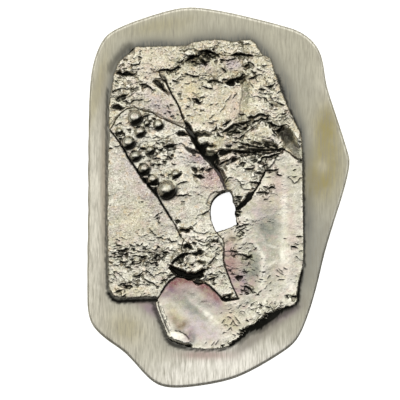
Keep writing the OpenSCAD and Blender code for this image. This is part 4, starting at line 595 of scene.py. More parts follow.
# Stains, heat colours and worn bright places, with painted shade, highlights and reflections among them
STAINS = {
    # paint, x, y, half length, half width, turn, strength
    "top_sheet": [
        ("lilac", -9.6, 15, 3, 1.8, -30, 0.6), ("purple", -8.2, 13.4, 2, 0.8, -30, 0.4),
        ("grey", -12, 14.6, 3.6, 1, 0, 0.35), ("grey", -3, 22.4, 3.4, 0.8, 0, 0.5),
        ("grey", -15.6, 15.4, 1.6, 1.6, 0, 0.4), ("rose", -11, 19.6, 2.4, 1.6, 0, 0.2),
        ("worn_and_highlight", -14, 18.5, 2.2, 3.6, 0, 0.3),
    ],
    "crest_sheet": [
        ("olive", 4.2, 15.9, 0.6, 2.6, 0, 1), ("slate", 4.3, 16, 0.35, 1.2, 0, 0.6),
        ("olive", -3.6, 21.8, 2.6, 0.9, 20, 0.8), ("olive", -1, 20.2, 5, 1.6, 0, 0.3),
        ("olive", 4.6, 18.4, 0.7, 1.6, 0, 0.5), ("olive", 3.2, 12.6, 0.8, 0.6, 0, 0.6),
        ("rose", 2.2, 15.4, 0.9, 1.3, 0, 0.4), ("rose", 2, 20.8, 1.2, 0.9, 0, 0.4),
        ("rose", -0.8, 19.9, 1, 0.7, 0, 0.3), ("grey", -2.6, 20.4, 2.4, 1, 0, 0.4),
        ("grey", 3.4, 18.6, 4.4, 0.9, 6, 0.4), ("grey", 4.9, 20.7, 0.8, 0.8, 0, 0.6),
        ("grey", 8.2, 15, 1.2, 4, 20, 0.35), ("grey", 9.3, 8.6, 1.2, 0.9, -40, 0.35),
        ("grey", 3, 10.2, 5, 1.1, 14, 0.3), ("grey", -5.2, 16.6, 1.2, 1.6, 20, 0.3),
        ("grey", -2.7, 8.6, 1.5, 0.8, -30, 0.9), ("olive", -0.6, 7.9, 1.5, 0.7, 50, 0.8),
        ("slate", 12, 8, 0.8, 1.8, 32, 0.8), ("yellow", -4, 16.6, 1, 1.6, 25, 0.6),
        ("yellow", 6, 18.2, 2.6, 0.9, 10, 0.4), ("rose", 2.6, 13.6, 0.7, 1.8, -25, 0.45),
        ("lilac", 3, 20.9, 0.9, 0.6, 0, 0.5), ("lilac", 1.4, 8.4, 1.2, 0.5, 0, 0.5),
        ("grey", -1.2, 7.3, 0.9, 0.6, 0, 0.8), ("olive", 0.4, 8.7, 0.5, 0.7, 0, 0.5),
        ("olive", 1, 20.2, 4, 1.2, 0, 0.25), ("worn_and_highlight", 7, 16.5, 2.2, 3.6, 0, 0.25),
        ("olive_shade", 4.15, 16.6, 0.45, 2.3, -8, 0.9), ("lilac", -2.2, 20.7, 0.9, 0.5, 0, 0.7),
        ("lilac", 2.1, 20.8, 1.1, 0.8, -10, 0.8), ("yellow", -4.4, 17.2, 0.8, 0.9, 0, 0.8),
    ],
    "granule_strip": [
        ("rose", -1, 3, 1.6, 1.8, 0, 0.7), ("purple", -3.2, 6, 1.1, 0.5, 0, 0.55),
        ("dusk", -0.7, 3.9, 1, 0.7, -40, 0.8), ("worn_and_highlight", -2.9, 5.25, 1.2, 0.2, -4, 1),
        ("worn_and_highlight", -1.4, 5.2, 1.4, 0.15, -48, 0.8), ("purple", 0.2, 2.4, 0.4, 1.4, 20, 0.6),
        ("worn_and_highlight", -6.2, 6.8, 1, 2, 0, 0.4), ("lilac", -5.6, 7.2, 1.8, 2.4, 0, 0.3),
        ("grey", -13, 9.5, 2.6, 3.4, 0, 0.15), ("grey", -9.8, 6.6, 2.2, 1.6, 0, 0.3),
        ("grey", -5.2, -4.4, 1, 0.5, 10, 0.5), ("grey", -3.2, -13.1, 0.9, 0.5, 10, 0.6),
        ("olive", -13.2, 13.6, 1.4, 0.6, -10, 0.5), ("grey", 0.6, -12, 0.9, 3, 14, 0.3),
        # The purple row here is painted shade below the crest
        ("dusk", -1.3, 3.1, 1.5, 1.7, 0, 0.55), ("purple", -3, 6.2, 1.3, 0.8, -30, 0.6),
        ("rose", -7, -0.6, 1, 0.8, 0, 0.4), ("worn_and_highlight", -9, 8.6, 3, 2.4, 0, 0.3),
        ("worn_and_highlight", -3, -6.2, 2.2, 1.8, 0, 0.4),
    ],
    "ball": [],
    "middle_flap": [
        ("rose", 1.5, 6.5, 1.5, 1.2, 0, 0.35), ("brown", 0.5, 3.6, 0.5, 1.3, 28, 0.9),
        ("olive", 1.3, 2, 0.5, 0.9, 0, 0.8), ("grey", 5.6, 5.6, 2.6, 1, 10, 0.3),
    ],
    "left_sheet": [
        ("lilac", -11.5, 2, 1.2, 4.4, 38, 0.5), ("purple", -10.2, -1.6, 0.6, 2.8, 35, 0.4),
        ("lilac", -14.6, 5, 1.4, 2, 0, 0.4), ("yellow", -13.4, -3.4, 2.4, 2.6, 0, 0.4),
        ("olive", -10.8, -5, 1.8, 0.8, -10, 0.4), ("yellow", -15.6, -6.4, 2, 0.8, 0, 0.35),
        ("yellow", -14.6, -14.6, 3.4, 0.8, 0, 0.5), ("brown", -17.9, -3, 0.5, 7, 0, 0.9),
        ("rose", -12.6, 1.4, 1, 1.6, 30, 0.35), ("grey", -16.4, -4, 1.4, 6, 0, 0.15),
        ("grey", -12.4, -9, 5.2, 2.2, 0, 0.12), ("grey", -9.2, -2.6, 1.2, 1.8, 35, 0.3),
    ],
    "base_sheet": [
        ("slate", 7.8, -4.8, 1.9, 2.6, 0, 1), ("grey", 8.8, -9.2, 1.8, 2.2, 0, 0.5),
        # Painted shade on the lower right of the hill near 4.5, -10
        ("slate", 5.4, -11.2, 1.1, 2.4, 0, 0.85), ("slate", 4.3, -11.9, 1.5, 1.6, 30, 0.6),
        ("olive_shade", 3.6, -10.2, 1.3, 0.8, -10, 0.5), ("slate", 5.3, -9.9, 1.1, 1.3, 0, 0.7),
        ("shade_grey", 5.4, -11.7, 0.8, 1.8, -8, 0.3), ("shade_grey", 4, -10.3, 1.2, 0.5, -20, 0.3),
        ("grey", 9, -8.8, 1.9, 2.4, 0, 0.75), ("brown", 1.9, -6.7, 1.1, 0.5, 10, 0.7),
        ("grey", 8.2, -2, 1.6, 0.8, 0, 0.6), ("worn_and_highlight", 8.4, -7.6, 1.4, 0.22, -20, 0.6),
        ("worn_and_highlight", 9.9, -8.8, 0.22, 1.2, 0, 0.5), ("worn_and_highlight", 8.3, -10.3, 1.2, 0.22, 30, 0.5),
        ("worn_and_highlight", 8.3, -2.7, 1.5, 0.2, 12, 0.6), ("grey", 12.5, -0.5, 0.5, 3, 0, 0.4),
        ("grey", 5.2, -1.6, 1.2, 0.9, 0, 0.5), ("olive", 2.2, -6.4, 0.9, 0.6, 0, 0.6),
        ("olive", 12.2, 3.6, 1.4, 1.4, 0, 0.3), ("rose", 7.2, -0.6, 2.2, 1.6, 0, 0.35),
        ("rose", 9.2, 2.4, 1.2, 2.2, 20, 0.45), ("worn_and_highlight", 10.2, -0.8, 0.6, 3.6, 0, 0.7),
        ("worn_and_highlight", 6.4, 0.6, 1.2, 0.5, 60, 0.5), ("lilac", 6.2, -2.4, 1.4, 0.8, -20, 0.5),
        ("worn_and_highlight", 10.6, -8, 1, 4, 0, 0.6), ("rose", 11.4, -5.6, 0.7, 3, 0, 0.4),
        ("rose", 9.8, -11.6, 1.6, 1.2, 0, 0.35), ("grey", 8.4, -13, 1, 1.2, 0, 0.7),
        ("grey", 4.6, -16.4, 0.9, 1.6, -20, 0.8), ("worn_and_highlight", 6.9, -12.5, 0.4, 1.6, -5, 1),
        ("worn_and_highlight", 11.4, -14.2, 0.8, 1.4, 0, 0.6), ("rose", 5.2, -13.4, 0.7, 0.7, 0, 0.6),
        ("rose", 2.9, -14.2, 0.9, 1.5, 0, 0.8), ("purple", 3.7, -13.2, 0.6, 0.5, 0, 0.5),
        ("yellow", 1.6, -19, 1.6, 1.4, 0, 0.5), ("slate", -4.1, -22.2, 0.5, 0.8, -20, 0.7),
        ("rose", 1.8, -11, 1.2, 4.2, 0, 0.9), ("dusk", 1.7, -9.9, 1.2, 2, 20, 0.6),
        ("red", 1.6, -9.8, 0.8, 1.7, 15, 0.45), ("purple", 3.5, -13.6, 1.2, 1.6, 35, 0.6),
        ("purple", 3, -12.6, 1.1, 0.9, 30, 0.6), ("brown", 2.8, -10.2, 0.8, 1.8, 0, 0.4),
        # Painted reflection across the polished dish, in bands of grey and slate and bright streaks
        ("grey", -4.7, -16.3, 3.4, 1.2, -42, 1), ("slate", -4.5, -16.9, 2.4, 0.8, -42, 0.5),
        ("worn_and_highlight", -2.9, -17.9, 4, 0.8, -43, 0.6), ("lilac", -3.2, -19.4, 2.4, 0.8, -40, 0.7),
        ("yellow", -7, -18.4, 0.9, 1.3, 20, 0.6), ("yellow", -5.8, -18.9, 1.1, 0.4, -10, 0.5),
        ("worn_and_highlight", -3.6, -19.4, 2.2, 0.7, -35, 0.5), ("lilac", -4.2, -20.6, 1.6, 1.2, 0, 0.8),
        ("lilac", -1.6, -21.4, 2.2, 1.2, 0, 0.7), ("brown", -5.8, -20, 1, 0.6, 30, 1),
        ("purple", -4.6, -21.4, 0.5, 0.9, -30, 1), ("brown", -6.6, -19.3, 1.3, 0.6, -45, 0.8),
        # Painted shade right of the bead
        ("shade_grey", -4.1, -22.1, 0.5, 0.9, -15, 0.5), ("purple", -8, -14.6, 0.8, 0.8, 0, 0.4),
        ("dusk", -6, -14.2, 3, 1.2, 15, 0.7), ("dusk", -1.3, -15.6, 2.4, 1.1, -42, 0.75),
        ("red", -7.6, -13.6, 1.8, 0.8, 42, 1), ("purple", -7.8, -14.4, 0.9, 0.7, 40, 0.8),
        ("red", -5, -12.9, 2, 0.7, -5, 1), ("red", -2.2, -14, 1.8, 0.75, -38, 1),
        ("red", -0.3, -15.8, 1.3, 0.5, -55, 1), ("purple", 0.1, -17.2, 0.7, 0.8, 0, 0.5),
        ("red", -6.9, -13.3, 2, 0.6, 35, 0.8), ("red", -1.5, -14.4, 2.6, 0.55, -42, 0.7),
        ("purple", -8.1, -14.8, 0.9, 0.8, 0, 0.6), ("grey", -6, -15.6, 1.6, 1.2, -40, 0.6),
        ("slate", -4, -17.6, 2.2, 0.8, -42, 0.5), ("lilac", -0.6, -16.9, 1, 0.8, 0, 0.5),
        # A painted reflection streak with painted shade below it
        ("worn_and_highlight", -2, -18.1, 3, 0.32, -40, 0.8), ("slate", -2.9, -18.3, 2.4, 0.3, -42, 0.45),
        ("worn_and_highlight", -6.1, -21.9, 1.4, 0.5, -22, 1), ("grey", 9.4, -15.3, 0.7, 0.5, 0, 0.5),
        ("olive", 2, -19.8, 1.3, 1.3, 0, 0.35),
    ],
    "back_plate": [
        ("plate_pale", -19.8, -2, 3.4, 17, 0, 1), ("plate_pale", -0.9, 0.1, 1.9, 1.1, 45, 0.8),
        ("plate_pale", 17, 16, 2, 5, 0, 0.3), ("plate_white", 0.5, -27, 14, 3.6, 10, 1),
        ("plate_grey", 15.5, -9, 2.4, 7, -8, 0.8), ("plate_grey", 13.8, 17, 1.6, 5, 25, 0.3),
        ("plate_olive", -19.2, 16.5, 0.9, 6, -14, 0.5), ("plate_olive", -9, 27.2, 5, 1, 12, 0.35),
        ("plate_olive", -14.8, -20.2, 2.3, 2, -20, 0.5), ("red", -11.6, -16.8, 1.6, 0.5, -8, 0.5),
        ("plate_olive", 17.1, 7.4, 2, 5.4, 5, 0.8), ("plate_olive", 16, 3.2, 2.1, 3.4, -15, 1),
        ("plate_olive", 16.8, 11.2, 1.5, 2.9, -8, 1), ("plate_olive", 14.9, 3.6, 0.7, 2.2, -10, 0.5),
        ("plate_pale", 16.3, 4.9, 0.9, 1.1, 0, 0.35), ("plate_pale", 14.2, 9.6, 0.8, 1.6, -10, 0.3),
        ("plate_pale", -14, -21, 5, 4.5, 0, 0.7), ("plate_olive", -14.4, -20.6, 2.8, 2.2, -25, 0.5),
        ("olive", -8, 26.5, 4, 1.4, 0, 0.25), ("purple", -10.6, -17.6, 1.6, 0.9, -30, 0.8),
        # Dull brown along the plate below the torn edge
        ("umber", 7.6, -20.8, 5, 0.9, 38, 0.6), ("umber", 4, -23.2, 2.6, 0.7, 40, 0.5),
        ("purple", 10.8, -18.3, 2.2, 0.6, 30, 0.5), ("rose", -2, -24.8, 4, 0.7, 0, 0.6),
        ("red", -2.4, -24.7, 3.4, 0.5, 0, 0.3), ("purple", 0.3, 3, 0.9, 2.2, 0, 0.8),
        # Beside the relief the plate darkens in painted shade
        ("brown", -18.1, 2, 0.5, 14, 0, 0.6), ("shade_grey", 12.2, 13, 1, 6, 20, 0.4),
        ("shade_grey", 14.3, -3, 0.8, 9, 0, 0.35), ("shade_grey", 10.6, 18.8, 0.8, 2.4, 30, 0.3),
    ],
}
# Painted shadow on the plate between and beside the sheets: black, then the corners
PLATE_HOLLOWS = [
    (1, 1.3, -23.2, 1.6, -23.7, 2.3, -23.4, 3.4, -22.5, 4.2, -21.9, 4.8, -21.1, 5.8, -20.9, 6.8, -20.6,
     7.6, -20, 8.4, -19.4, 9.2, -18.9, 9.8, -18.4, 10.3, -17.8, 11.2, -17.5, 12.2, -17, 12.6, -16.4,
     11.5, -16, 5, -19, 2, -22),
    (0.45, -5.2, 10.6, -3, 10.2, 0.5, 8.4, 2.4, 8, 2.2, 6.9, 1.1, 6.2, 0.8, 4.6, 1.5, 3.2, 1.6, 1.6,
     0.6, 1.5, -0.5, 3.8, -1.9, 5.2, -3.1, 6.4, -4.6, 8.2),
    (1, -4.6, 9.8, -2.5, 9.2, 0.5, 7.8, 1.9, 7.4, 1.6, 7.2, 0.2, 6.6, -0.1, 5.7, -0.3, 5.2, -0.1, 4.2,
     -1, 5, -1.6, 5.9, -3, 6.6, -4.2, 8),
    (1, 7.4, 4.6, 8, 3.8, 7.3, 2.2, 6.4, 0.6, 5.2, -1, 3.8, -2.2, 2.5, -2.4, 2.6, -0.2, 3.4, 0.5, 4.4,
     0.8, 5.4, 1.8, 6.4, 3.2),
]
# Painted shadow along the plate's edges beside the sheets: half width, black, then x, y along the line
PLATE_SHADES = [
    (0.5, 0.5, 3.4, -22.5, 4.8, -21.2, 6.6, -20.7, 8.4, -19.4, 10, -18.3, 12.2, -17.1),
    (0.35, 1, -17.3, -15, -16.7, -15.9, -15.5, -16.3, -13.5, -16.15, -9.6, -16.1),
    (0.15, 0.8, -5.4, -23.7, -4, -23.95, -2, -24, 0, -23.95, 1.2, -23.8),
    (0.3, 0.8, -8.1, -22.3, -7.4, -23, -6.3, -23.4, -5.2, -23.6),
    (0.3, 0.7, -10.4, -16.4, -9.9, -17.8, -9.3, -19.4, -8.8, -20.6, -8.3, -21.8),
    (0.16, 0.8, 13.35, 6, 13.4, 0, 13.45, -6, 13.5, -10.8),
    (0.3, 1, 13.15, -11.2, 12.85, -12.6, 12.6, -14, 12.5, -15.2, 12.5, -16.2),
    (0.22, 0.8, 9.2, 19.2, 10, 17, 10.9, 14.2, 11.8, 12.4, 12.8, 10.2, 13.2, 6.2),
    (0.2, 0.7, -17.5, 17, -17.65, 8, -17.7, -8, -17.5, -14.6),
    (0.55, 0.45, -17.1, 20.2, -16.2, 21.8, -15.1, 23, -14, 23.9),
    (0.22, 1, -1.3, -1.6, -1.1, -1, -0.7, -0.4, -0.2, 0.1, 0.3, 0.45, 0.9, 0.65),
    (0.2, 0.7, -1.3, -2.3, -1.1, -3.3, -1, -4.2, -0.4, -5.2, 0.1, -6),
]

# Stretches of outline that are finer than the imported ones
REDRAWN = [
    ("granule_strip", (
        1.2, 1.05, 0.9, 0.82, 0.1, 0.42, -0.68, -0.2, -1.15, -1.05, -1.28, -2)),
    ("middle_flap", (
        7, 3.9, 6.72, 3.2, 6.4, 2.62, 6.05, 1.97, 5.75, 1.45, 5.5, 1.05, 5.1, 0.85, 4.7, 0.68, 4.4,
        0.35, 4.15, -0.1, 3.75, -0.65, 3.4, -1, 3.05, -1.3, 2.7, -1.45, 2.5, -1.25, 2.36, -0.7, 2.25, 0,
        2.15, 0.5, 1.9, 0.9)),
    ("middle_flap", (
        0.15, 7.35, -0.3, 6.75, -0.55, 6.2, -0.7, 5.5, -0.62, 4.85, 0.05, 4.1, 0.5, 3.25, 0.85, 2.4,
        1.1, 1.75, 1.4, 1.2, 1.9, 0.9)),
    ("base_sheet", (
        -9.6, -16.2, -9.95, -16.4, -9.75, -17.3, -9.35, -18.4, -8.9, -19.5, -8.45, -20.6, -8.1, -21.4,
        -8, -22.1, -7.5, -22.6)),
    ("base_sheet", (
        7.1, 3.3, 6.8, 2.95, 6.45, 2.3, 6.1, 1.7, 5.8, 1.15, 5.45, 0.6, 5.15, 0.05, 4.85, -0.4, 4.45,
        -0.78, 3.85, -1.35, 3.3, -1.8, 2.8, -1.95, 2.45, -2.1)),
    ("crest_sheet", (
        -3.3, 8.8, -2.95, 8.05, -2.5, 7.3, -2.1, 6.65, -1.5, 6.4, -0.95, 6.6, -0.5, 7, 0.1, 7.5)),
    ("base_sheet", (
        1.6, -23.35, 1.75, -22.95, 2.2, -22.75, 2.15, -22.5, 2.8, -22.35, 2.95, -22, 3.4, -21.9, 3.3,
        -21.7, 3.85, -21.5, 3.3, -21.35, 4, -21.2, 3.6, -21, 4.4, -20.95, 3.8, -20.75, 4.5, -20.6, 4.1,
        -20.4, 4.6, -20.25, 5, -19.95, 5.5, -20, 5.85, -19.75, 6.1, -19.35, 6.6, -19.3, 6.2, -19.1,
        6.95, -19.05, 7.6, -18.95, 7, -18.75, 7.75, -18.6, 7, -18.4, 7.8, -18.35, 7.3, -18.15, 8,
        -18.05, 8.6, -18.05, 8.75, -17.85, 9.3, -17.75, 9.2, -17.55, 9.7, -17.5, 9.75, -17.3, 10.3,
        -17.25, 10.5, -17.05, 11.1, -17.05, 11.4, -16.9, 11.9, -16.85, 12.3, -16.3)),
]

# Melted balls of the band: centre, diameter, and height of the centre
GRANULES = [
    # x, y, diameter, height
    (-13.15, 12.6, 2.35, 5.45), (-12.4, 10.4, 1.8, 5.3), (-14.15, 8.7, 2.1, 5.3),
    (-13.1, 6.6, 1.8, 5.25), (-11.75, 4.6, 1.9, 5.1), (-10.4, 2.95, 1.7, 5.1), (-8.2, 1.35, 2.95, 5.7),
    (-9.5, 11.5, 1.7, 5), (-11.3, 11.7, 1, 5.15), (-15.6, 10.5, 1.1, 5.1), (-10.8, 7.5, 1.4, 5),
    (-6.8, 3.8, 1.4, 5),
]


# Rasters of height, of black from patina and painted shade, and of wear with painted highlights

xs = np.arange(LEFT, RIGHT + STEP / 2, STEP)
ys = np.arange(LOW, TOP + STEP / 2, STEP)
grid_x, grid_y = np.meshgrid(xs, ys)
relief, shade_and_patina_black, highlight_and_wear = (np.zeros_like(grid_x) for _ in range(3))


def held(values):
    """Values held between 0 and 1."""
    return np.clip(values, 0, 1)


def lay(raster, part, amount):
    """Raises part of a raster to an amount where it is lower."""
    raster[part] = np.maximum(raster[part], amount)


def points_of(row):
    """Points from a row of x, y, x, y."""
    return np.array(row).reshape(-1, 2)


def turned(x, y, turn):
    """How far along and across a direction places are."""
    c, s = math.cos(math.radians(turn)), math.sin(math.radians(turn))
    return x * c + y * s, y * c - x * s


def cloud(x, y, size_x, size_y, seed):
    """Smooth random heights of about -1 to 1, in patches of a given size."""
    lean = np.random.default_rng(seed).uniform(0, 2 * math.pi, (CLOUD_CELLS, CLOUD_CELLS))
    u, v = x / size_x + 97.3, y / size_y + 61.7
    i, j = np.floor(u).astype(int), np.floor(v).astype(int)
    fu, fv = u - i, v - j

    def corner(a, b):
        angle = lean[(i + a) % CLOUD_CELLS, (j + b) % CLOUD_CELLS]
        return np.cos(angle) * (fu - a) + np.sin(angle) * (fv - b)

    def eased(t):
        return t**3 * (t * (t * 6 - 15) + 10)

    low = corner(0, 0) + eased(fu) * (corner(1, 0) - corner(0, 0))
    high = corner(0, 1) + eased(fu) * (corner(1, 1) - corner(0, 1))
    return 1.6 * (low + eased(fv) * (high - low))


def soften(raster, reach):
    """A raster blurred over a reach in raster steps."""
    span = int(math.ceil(2.6 * reach))
    weights = np.exp(-0.5 * (np.arange(-span, span + 1) / reach) ** 2)
    weights /= weights.sum()
    for axis in (0, 1):
        padded = np.pad(raster, [(span, span) if a == axis else (0, 0) for a in (0, 1)], mode="edge")
        raster = sum(
            w * np.take(padded, range(k, k + raster.shape[axis]), axis=axis)
            for k, w in enumerate(weights)
        )
    return raster


def read_at(raster, x, y, left=LEFT, low=LOW, step=STEP):
    """Values of a raster at places between its points."""
    u = np.clip((x - left) / step, 0, raster.shape[1] - 1.001)
    v = np.clip((y - low) / step, 0, raster.shape[0] - 1.001)
    i, j = u.astype(int), v.astype(int)
    fu, fv = u - i, v - j
    near = raster[j, i] * (1 - fu) + raster[j, i + 1] * fu
    far = raster[j + 1, i] * (1 - fu) + raster[j + 1, i + 1] * fu
    return near * (1 - fv) + far * fv


def spot(x, y, row_x, row_y, half_l, half_w, turn):
    """A soft oval patch that is 1 at its centre."""
    along, across = turned(x - row_x, y - row_y, turn)
    return np.exp(-((along / half_l) ** 2 + (across / half_w) ** 2))


# How charted lines stray from the straight, and how uneven their width is
WANDER_X, WANDER_Y = (
    0.10 * cloud(grid_x, grid_y, 0.8, 0.8, seed) + 0.06 * cloud(grid_x, grid_y, 0.3, 0.3, seed + 1)
    for seed in (1, 3)
)
UNEVEN = 1 + 0.45 * cloud(grid_x, grid_y, 0.5, 0.5, 5)


def window_of(low_x, low_y, high_x, high_y):
    """The part of the raster round a place."""
    i0, i1 = np.searchsorted(xs, [low_x, high_x])
    j0, j1 = np.searchsorted(ys, [low_y, high_y])
    return np.s_[j0:j1, i0:i1]


def strayed(part):
    """Places of a raster part as a charted line sees them."""
    return grid_x[part] + WANDER_X[part], grid_y[part] + WANDER_Y[part]


def inside(loop, x, y):
    """Whether places lie inside a closed loop."""
    result = np.zeros(x.shape, bool)
    for (ax, ay), (bx, by) in zip(loop, np.roll(loop, -1, axis=0)):
        if ay != by:
            crosses = (ay > y) != (by > y)
            result ^= crosses & (x < (bx - ax) * (y - ay) / (by - ay) + ax)
    return result


def trace(points, x, y):
    """The nearest places of a line: how far off, x, y, the run they lie on, and the share along it."""
    runs = np.diff(points, axis=0)
    best = np.full(x.shape, np.inf)
    pick, share = np.zeros(x.shape, int), np.zeros(x.shape)
    for k, (a, run) in enumerate(zip(points, runs)):
        t = held(((x - a[0]) * run[0] + (y - a[1]) * run[1]) / np.hypot(*run) ** 2)
        away = np.hypot(x - a[0] - t * run[0], y - a[1] - t * run[1])
        closer = away < best
        best = np.where(closer, away, best)
        pick, share = np.where(closer, k, pick), np.where(closer, t, share)
    on_x, on_y = (points[pick, i] + share * runs[pick, i] for i in (0, 1))
    return best, on_x, on_y, pick, share


def nearest(loop, x, y):
    """Distance from places to a closed loop, and the closest places on it."""
    return trace(np.vstack([loop, loop[:1]]), x, y)[:3]


def follow_line(row, margin):
    """The raster round a line: how far to its left, how far past its ends, and the share along it."""
    points = points_of(row)
    part = window_of(*(points.min(0) - margin), *(points.max(0) + margin))
    x, y = strayed(part)
    best, on_x, on_y, pick, t = trace(points, x, y)
    run_x, run_y = np.diff(points, axis=0).T
    lengths = np.hypot(run_x, run_y)
    reach = np.concatenate([[0], np.cumsum(lengths)]) / lengths.sum()
    side = (run_x[pick] * (y - on_y) - run_y[pick] * (x - on_x)) / lengths[pick]
    share = reach[pick] + t * (reach[pick + 1] - reach[pick])
    beyond = np.sqrt(np.maximum(best**2 - side**2, 0))
    return part, side, beyond, share, lengths.sum()


def ledge_profile(u):
    """Height across a ledge: a steep face at 0, a lip above it, a longer hollow below it."""
    face = u * np.exp(0.5 - u * u / 2)
    lip = np.exp(-0.5 * ((u - 1) / LIP_RUN) ** 2)
    hollow = -np.exp(-0.5 * ((u + 1) / HOLLOW_RUN) ** 2)
    return np.where(u > 1, lip, np.where(u < -1, hollow, face))


def press_ledge(row, width, height, black):
    """Adds a ledge along a line, thickest at its middle, with painted shade under its lip and a painted
    highlight on it.
    """
    part, side, beyond, share, length = follow_line(row, 5 * width + 0.2)
    ends = held(np.minimum(share, 1 - share) * length / (2.2 * width))
    body = (0.4 + 0.6 * ends) * UNEVEN[part]
    fade = np.exp(-((beyond / (0.8 * width)) ** 2))
    u = side / (width * np.clip(body, 0.45, 1.5))
    relief[part] += height * body * ledge_profile(u) * fade
    # Painted shade under the lip, then a painted highlight on the lip
    band = held((1.15 - np.abs(u + 0.3)) / 0.45) * held(1.3 * fade - 0.2)
    soft = 0.28 * np.exp(-0.5 * ((u + 1.6) / 1.5) ** 2) * fade
    lay(shade_and_patina_black, part, black * np.maximum(band, soft))
    lip = held(1.3 - np.abs(u - 2.2) / 1.2) * fade * held(ends + 0.3)
    lay(highlight_and_wear, part, min(1, 0.4 + 2 * height) * lip)


def press_ridge(row, width, height, shine):
    """Adds a raised bead along a line, worn bright."""
    part, side, beyond, share, length = follow_line(row, 4 * width + 0.2)
    ends = np.clip(np.minimum(share, 1 - share) * length / (3 * width), 0.15, 1)
    u = side / (width * np.clip(UNEVEN[part], 0.6, 1.4))
    bead = np.exp(-u * u) * ends * np.exp(-((beyond / width) ** 2))
    relief[part] += height * bead
    lay(highlight_and_wear, part, shine * bead)
    shade_and_patina_black[part] *= 1 - 0.85 * held(1.5 * shine * bead)


def press_hollow(ground, row, black, depth):
    """Lays an amount into a raster inside a line of corners, such as the black of patina and painted
    shade, and lowers the relief there.
    """
    loop = points_of(row)
    part = window_of(*(loop.min(0) - 0.6), *(loop.max(0) + 0.6))
    x, y = strayed(part)
    away = nearest(loop, x, y)[0]
    within = np.where(inside(loop, x, y), away, -away)
    relief[part] -= depth * held(0.5 + within / 0.4)
    lay(ground, part, black * held(0.5 + within / 0.12))


def press_shade(ground, row, half, black):
    """Paints a soft line of shade black and leaves the height as it is."""
    part, side, beyond, _, _ = follow_line(row, 2 * half + 0.2)
    away = np.hypot(side, beyond) / (half * np.clip(UNEVEN[part], 0.6, 1.4))
    lay(ground, part, black * held(1.5 - away))


def press_folds(row_x, row_y, half_l, half_w, turn, pitch, height, black, run, seed):
    """A field of small overlapping folds, each with a painted highlight on its lit lip over a step in
    painted shade.
    """
    reach = 1.6 * max(half_l, half_w)
    part = window_of(row_x - reach, row_y - reach, row_x + reach, row_y + reach)
    x, y = grid_x[part], grid_y[part]
    patch = 1.7 * spot(x, y, row_x, row_y, half_l, half_w, 0)
    patch = held(patch + 0.5 * cloud(x, y, 1.6, 1.6, seed) - 0.3)
    u, v = (way / pitch for way in turned(x, y, turn))
    u = u / run
    phase = v + 0.75 / run * cloud(u, v, 1.7, 1.3, seed + 1) + 0.3 * cloud(u, v, 0.7, 0.6, seed + 2)

    def standing(fold):
        """Where a numbered fold of the field stands up."""
        return held(1.5 * cloud(u + 5.3 * fold, 3.7 * fold, 1.3, 1.0, seed + 3) + 0.45) * patch

    fold, step = np.floor(phase), np.floor(phase + 0.4)
    frac = phase - fold
    on, under = standing(fold), standing(step)
    climb, slope = held(frac / 0.24), held((1 - frac) / 0.76)
    relief[part] += height * on * np.where(frac < 0.24, climb * climb * (3 - 2 * climb), slope)
    away = np.abs(phase - step - 0.03) * pitch
    half = min(0.11, 0.04 + 0.09 * pitch)
    # Painted shade along each step, and a painted highlight on each lip
    lay(shade_and_patina_black, part, black * held((half - away) / (0.45 * half)) * held(2 * under - 0.5))
    lay(highlight_and_wear, part, 0.8 * held(1.3 - np.abs(frac - 0.4) * pitch / 0.08) * held(2 * on - 0.5))


rough = np.full_like(grid_x, ROUGH_FLOOR)
for *row, crumple in ROUGH_PLACES:
    rough = np.maximum(rough, crumple * np.sqrt(spot(grid_x, grid_y, *row)))
for *row, smooth in SMOOTH_PLACES:
    rough *= 1 - smooth * np.sqrt(spot(grid_x, grid_y, *row))
in_dish = soften(inside(points_of(DISH), grid_x, grid_y).astype(float), 4)
rough *= 1 - in_dish
polish = 1 - DISH_POLISH * in_dish

# Soft waves, crumples and ripples of the metal
bent_x = grid_x + 0.5 * cloud(grid_x, grid_y, 2.0, 2.0, 61)
bent_y = grid_y + 0.35 * cloud(grid_x, grid_y, 1.4, 1.4, 62)
relief += (0.10 + 0.16 * rough) * cloud(grid_x, grid_y, 3.4, 2.6, 20)
relief += (0.04 + 0.10 * rough) * cloud(bent_x, bent_y, 1.5, 1.0, 21)
creases = 0.5 - np.abs(cloud(bent_x, bent_y, 1.3, 0.8, 63))
creases += 0.5 * (0.5 - np.abs(cloud(bent_x, bent_y, 0.65, 0.42, 64)))
relief += (0.02 + 0.15 * rough) * polish * creases
relief += (0.014 + 0.055 * rough) * polish * cloud(bent_x, bent_y, 0.42, 0.34, 65)
net = np.abs(cloud(bent_x, bent_y, 0.36, 0.27, 66)) + 0.6 * np.abs(cloud(bent_y, bent_x, 0.22, 0.17, 67))
net = 1 - 2.2 * net
relief -= (0.024 + 0.02 * rough) * polish * net

# Charted folds, hollows, shades, lumps, ledges and ridges
for number, row in enumerate(FOLDS):
    press_folds(*row, FOLD_SEED + 10 * number)
for black, depth, *row in HOLLOWS:
    press_hollow(shade_and_patina_black, row, black, depth)
for half, black, *row in SHADES:
    press_shade(shade_and_patina_black, row, half, black)
for shine, rise, *row in LUMPS:
    press_hollow(highlight_and_wear, row, shine, -rise)
for size, rows in LEDGES:
    for row in rows:
        press_ledge(row, *size)
for width, height, shine, *row in RIDGES:
    press_ridge(row, width, height, shine)


def to_lower_right(dx, dy):
    """How far a place lies towards the lower right, away from the light."""
    return 0.5 * dx - 0.86 * dy


def crumple_at(u, v):
    """A place of the raster from its shares across and up, and how crumpled the metal is there."""
    x, y = LEFT + u * (RIGHT - LEFT), LOW + v * (TOP - LOW)
    return x, y, float(read_at(rough, np.array(x), np.array(y)))


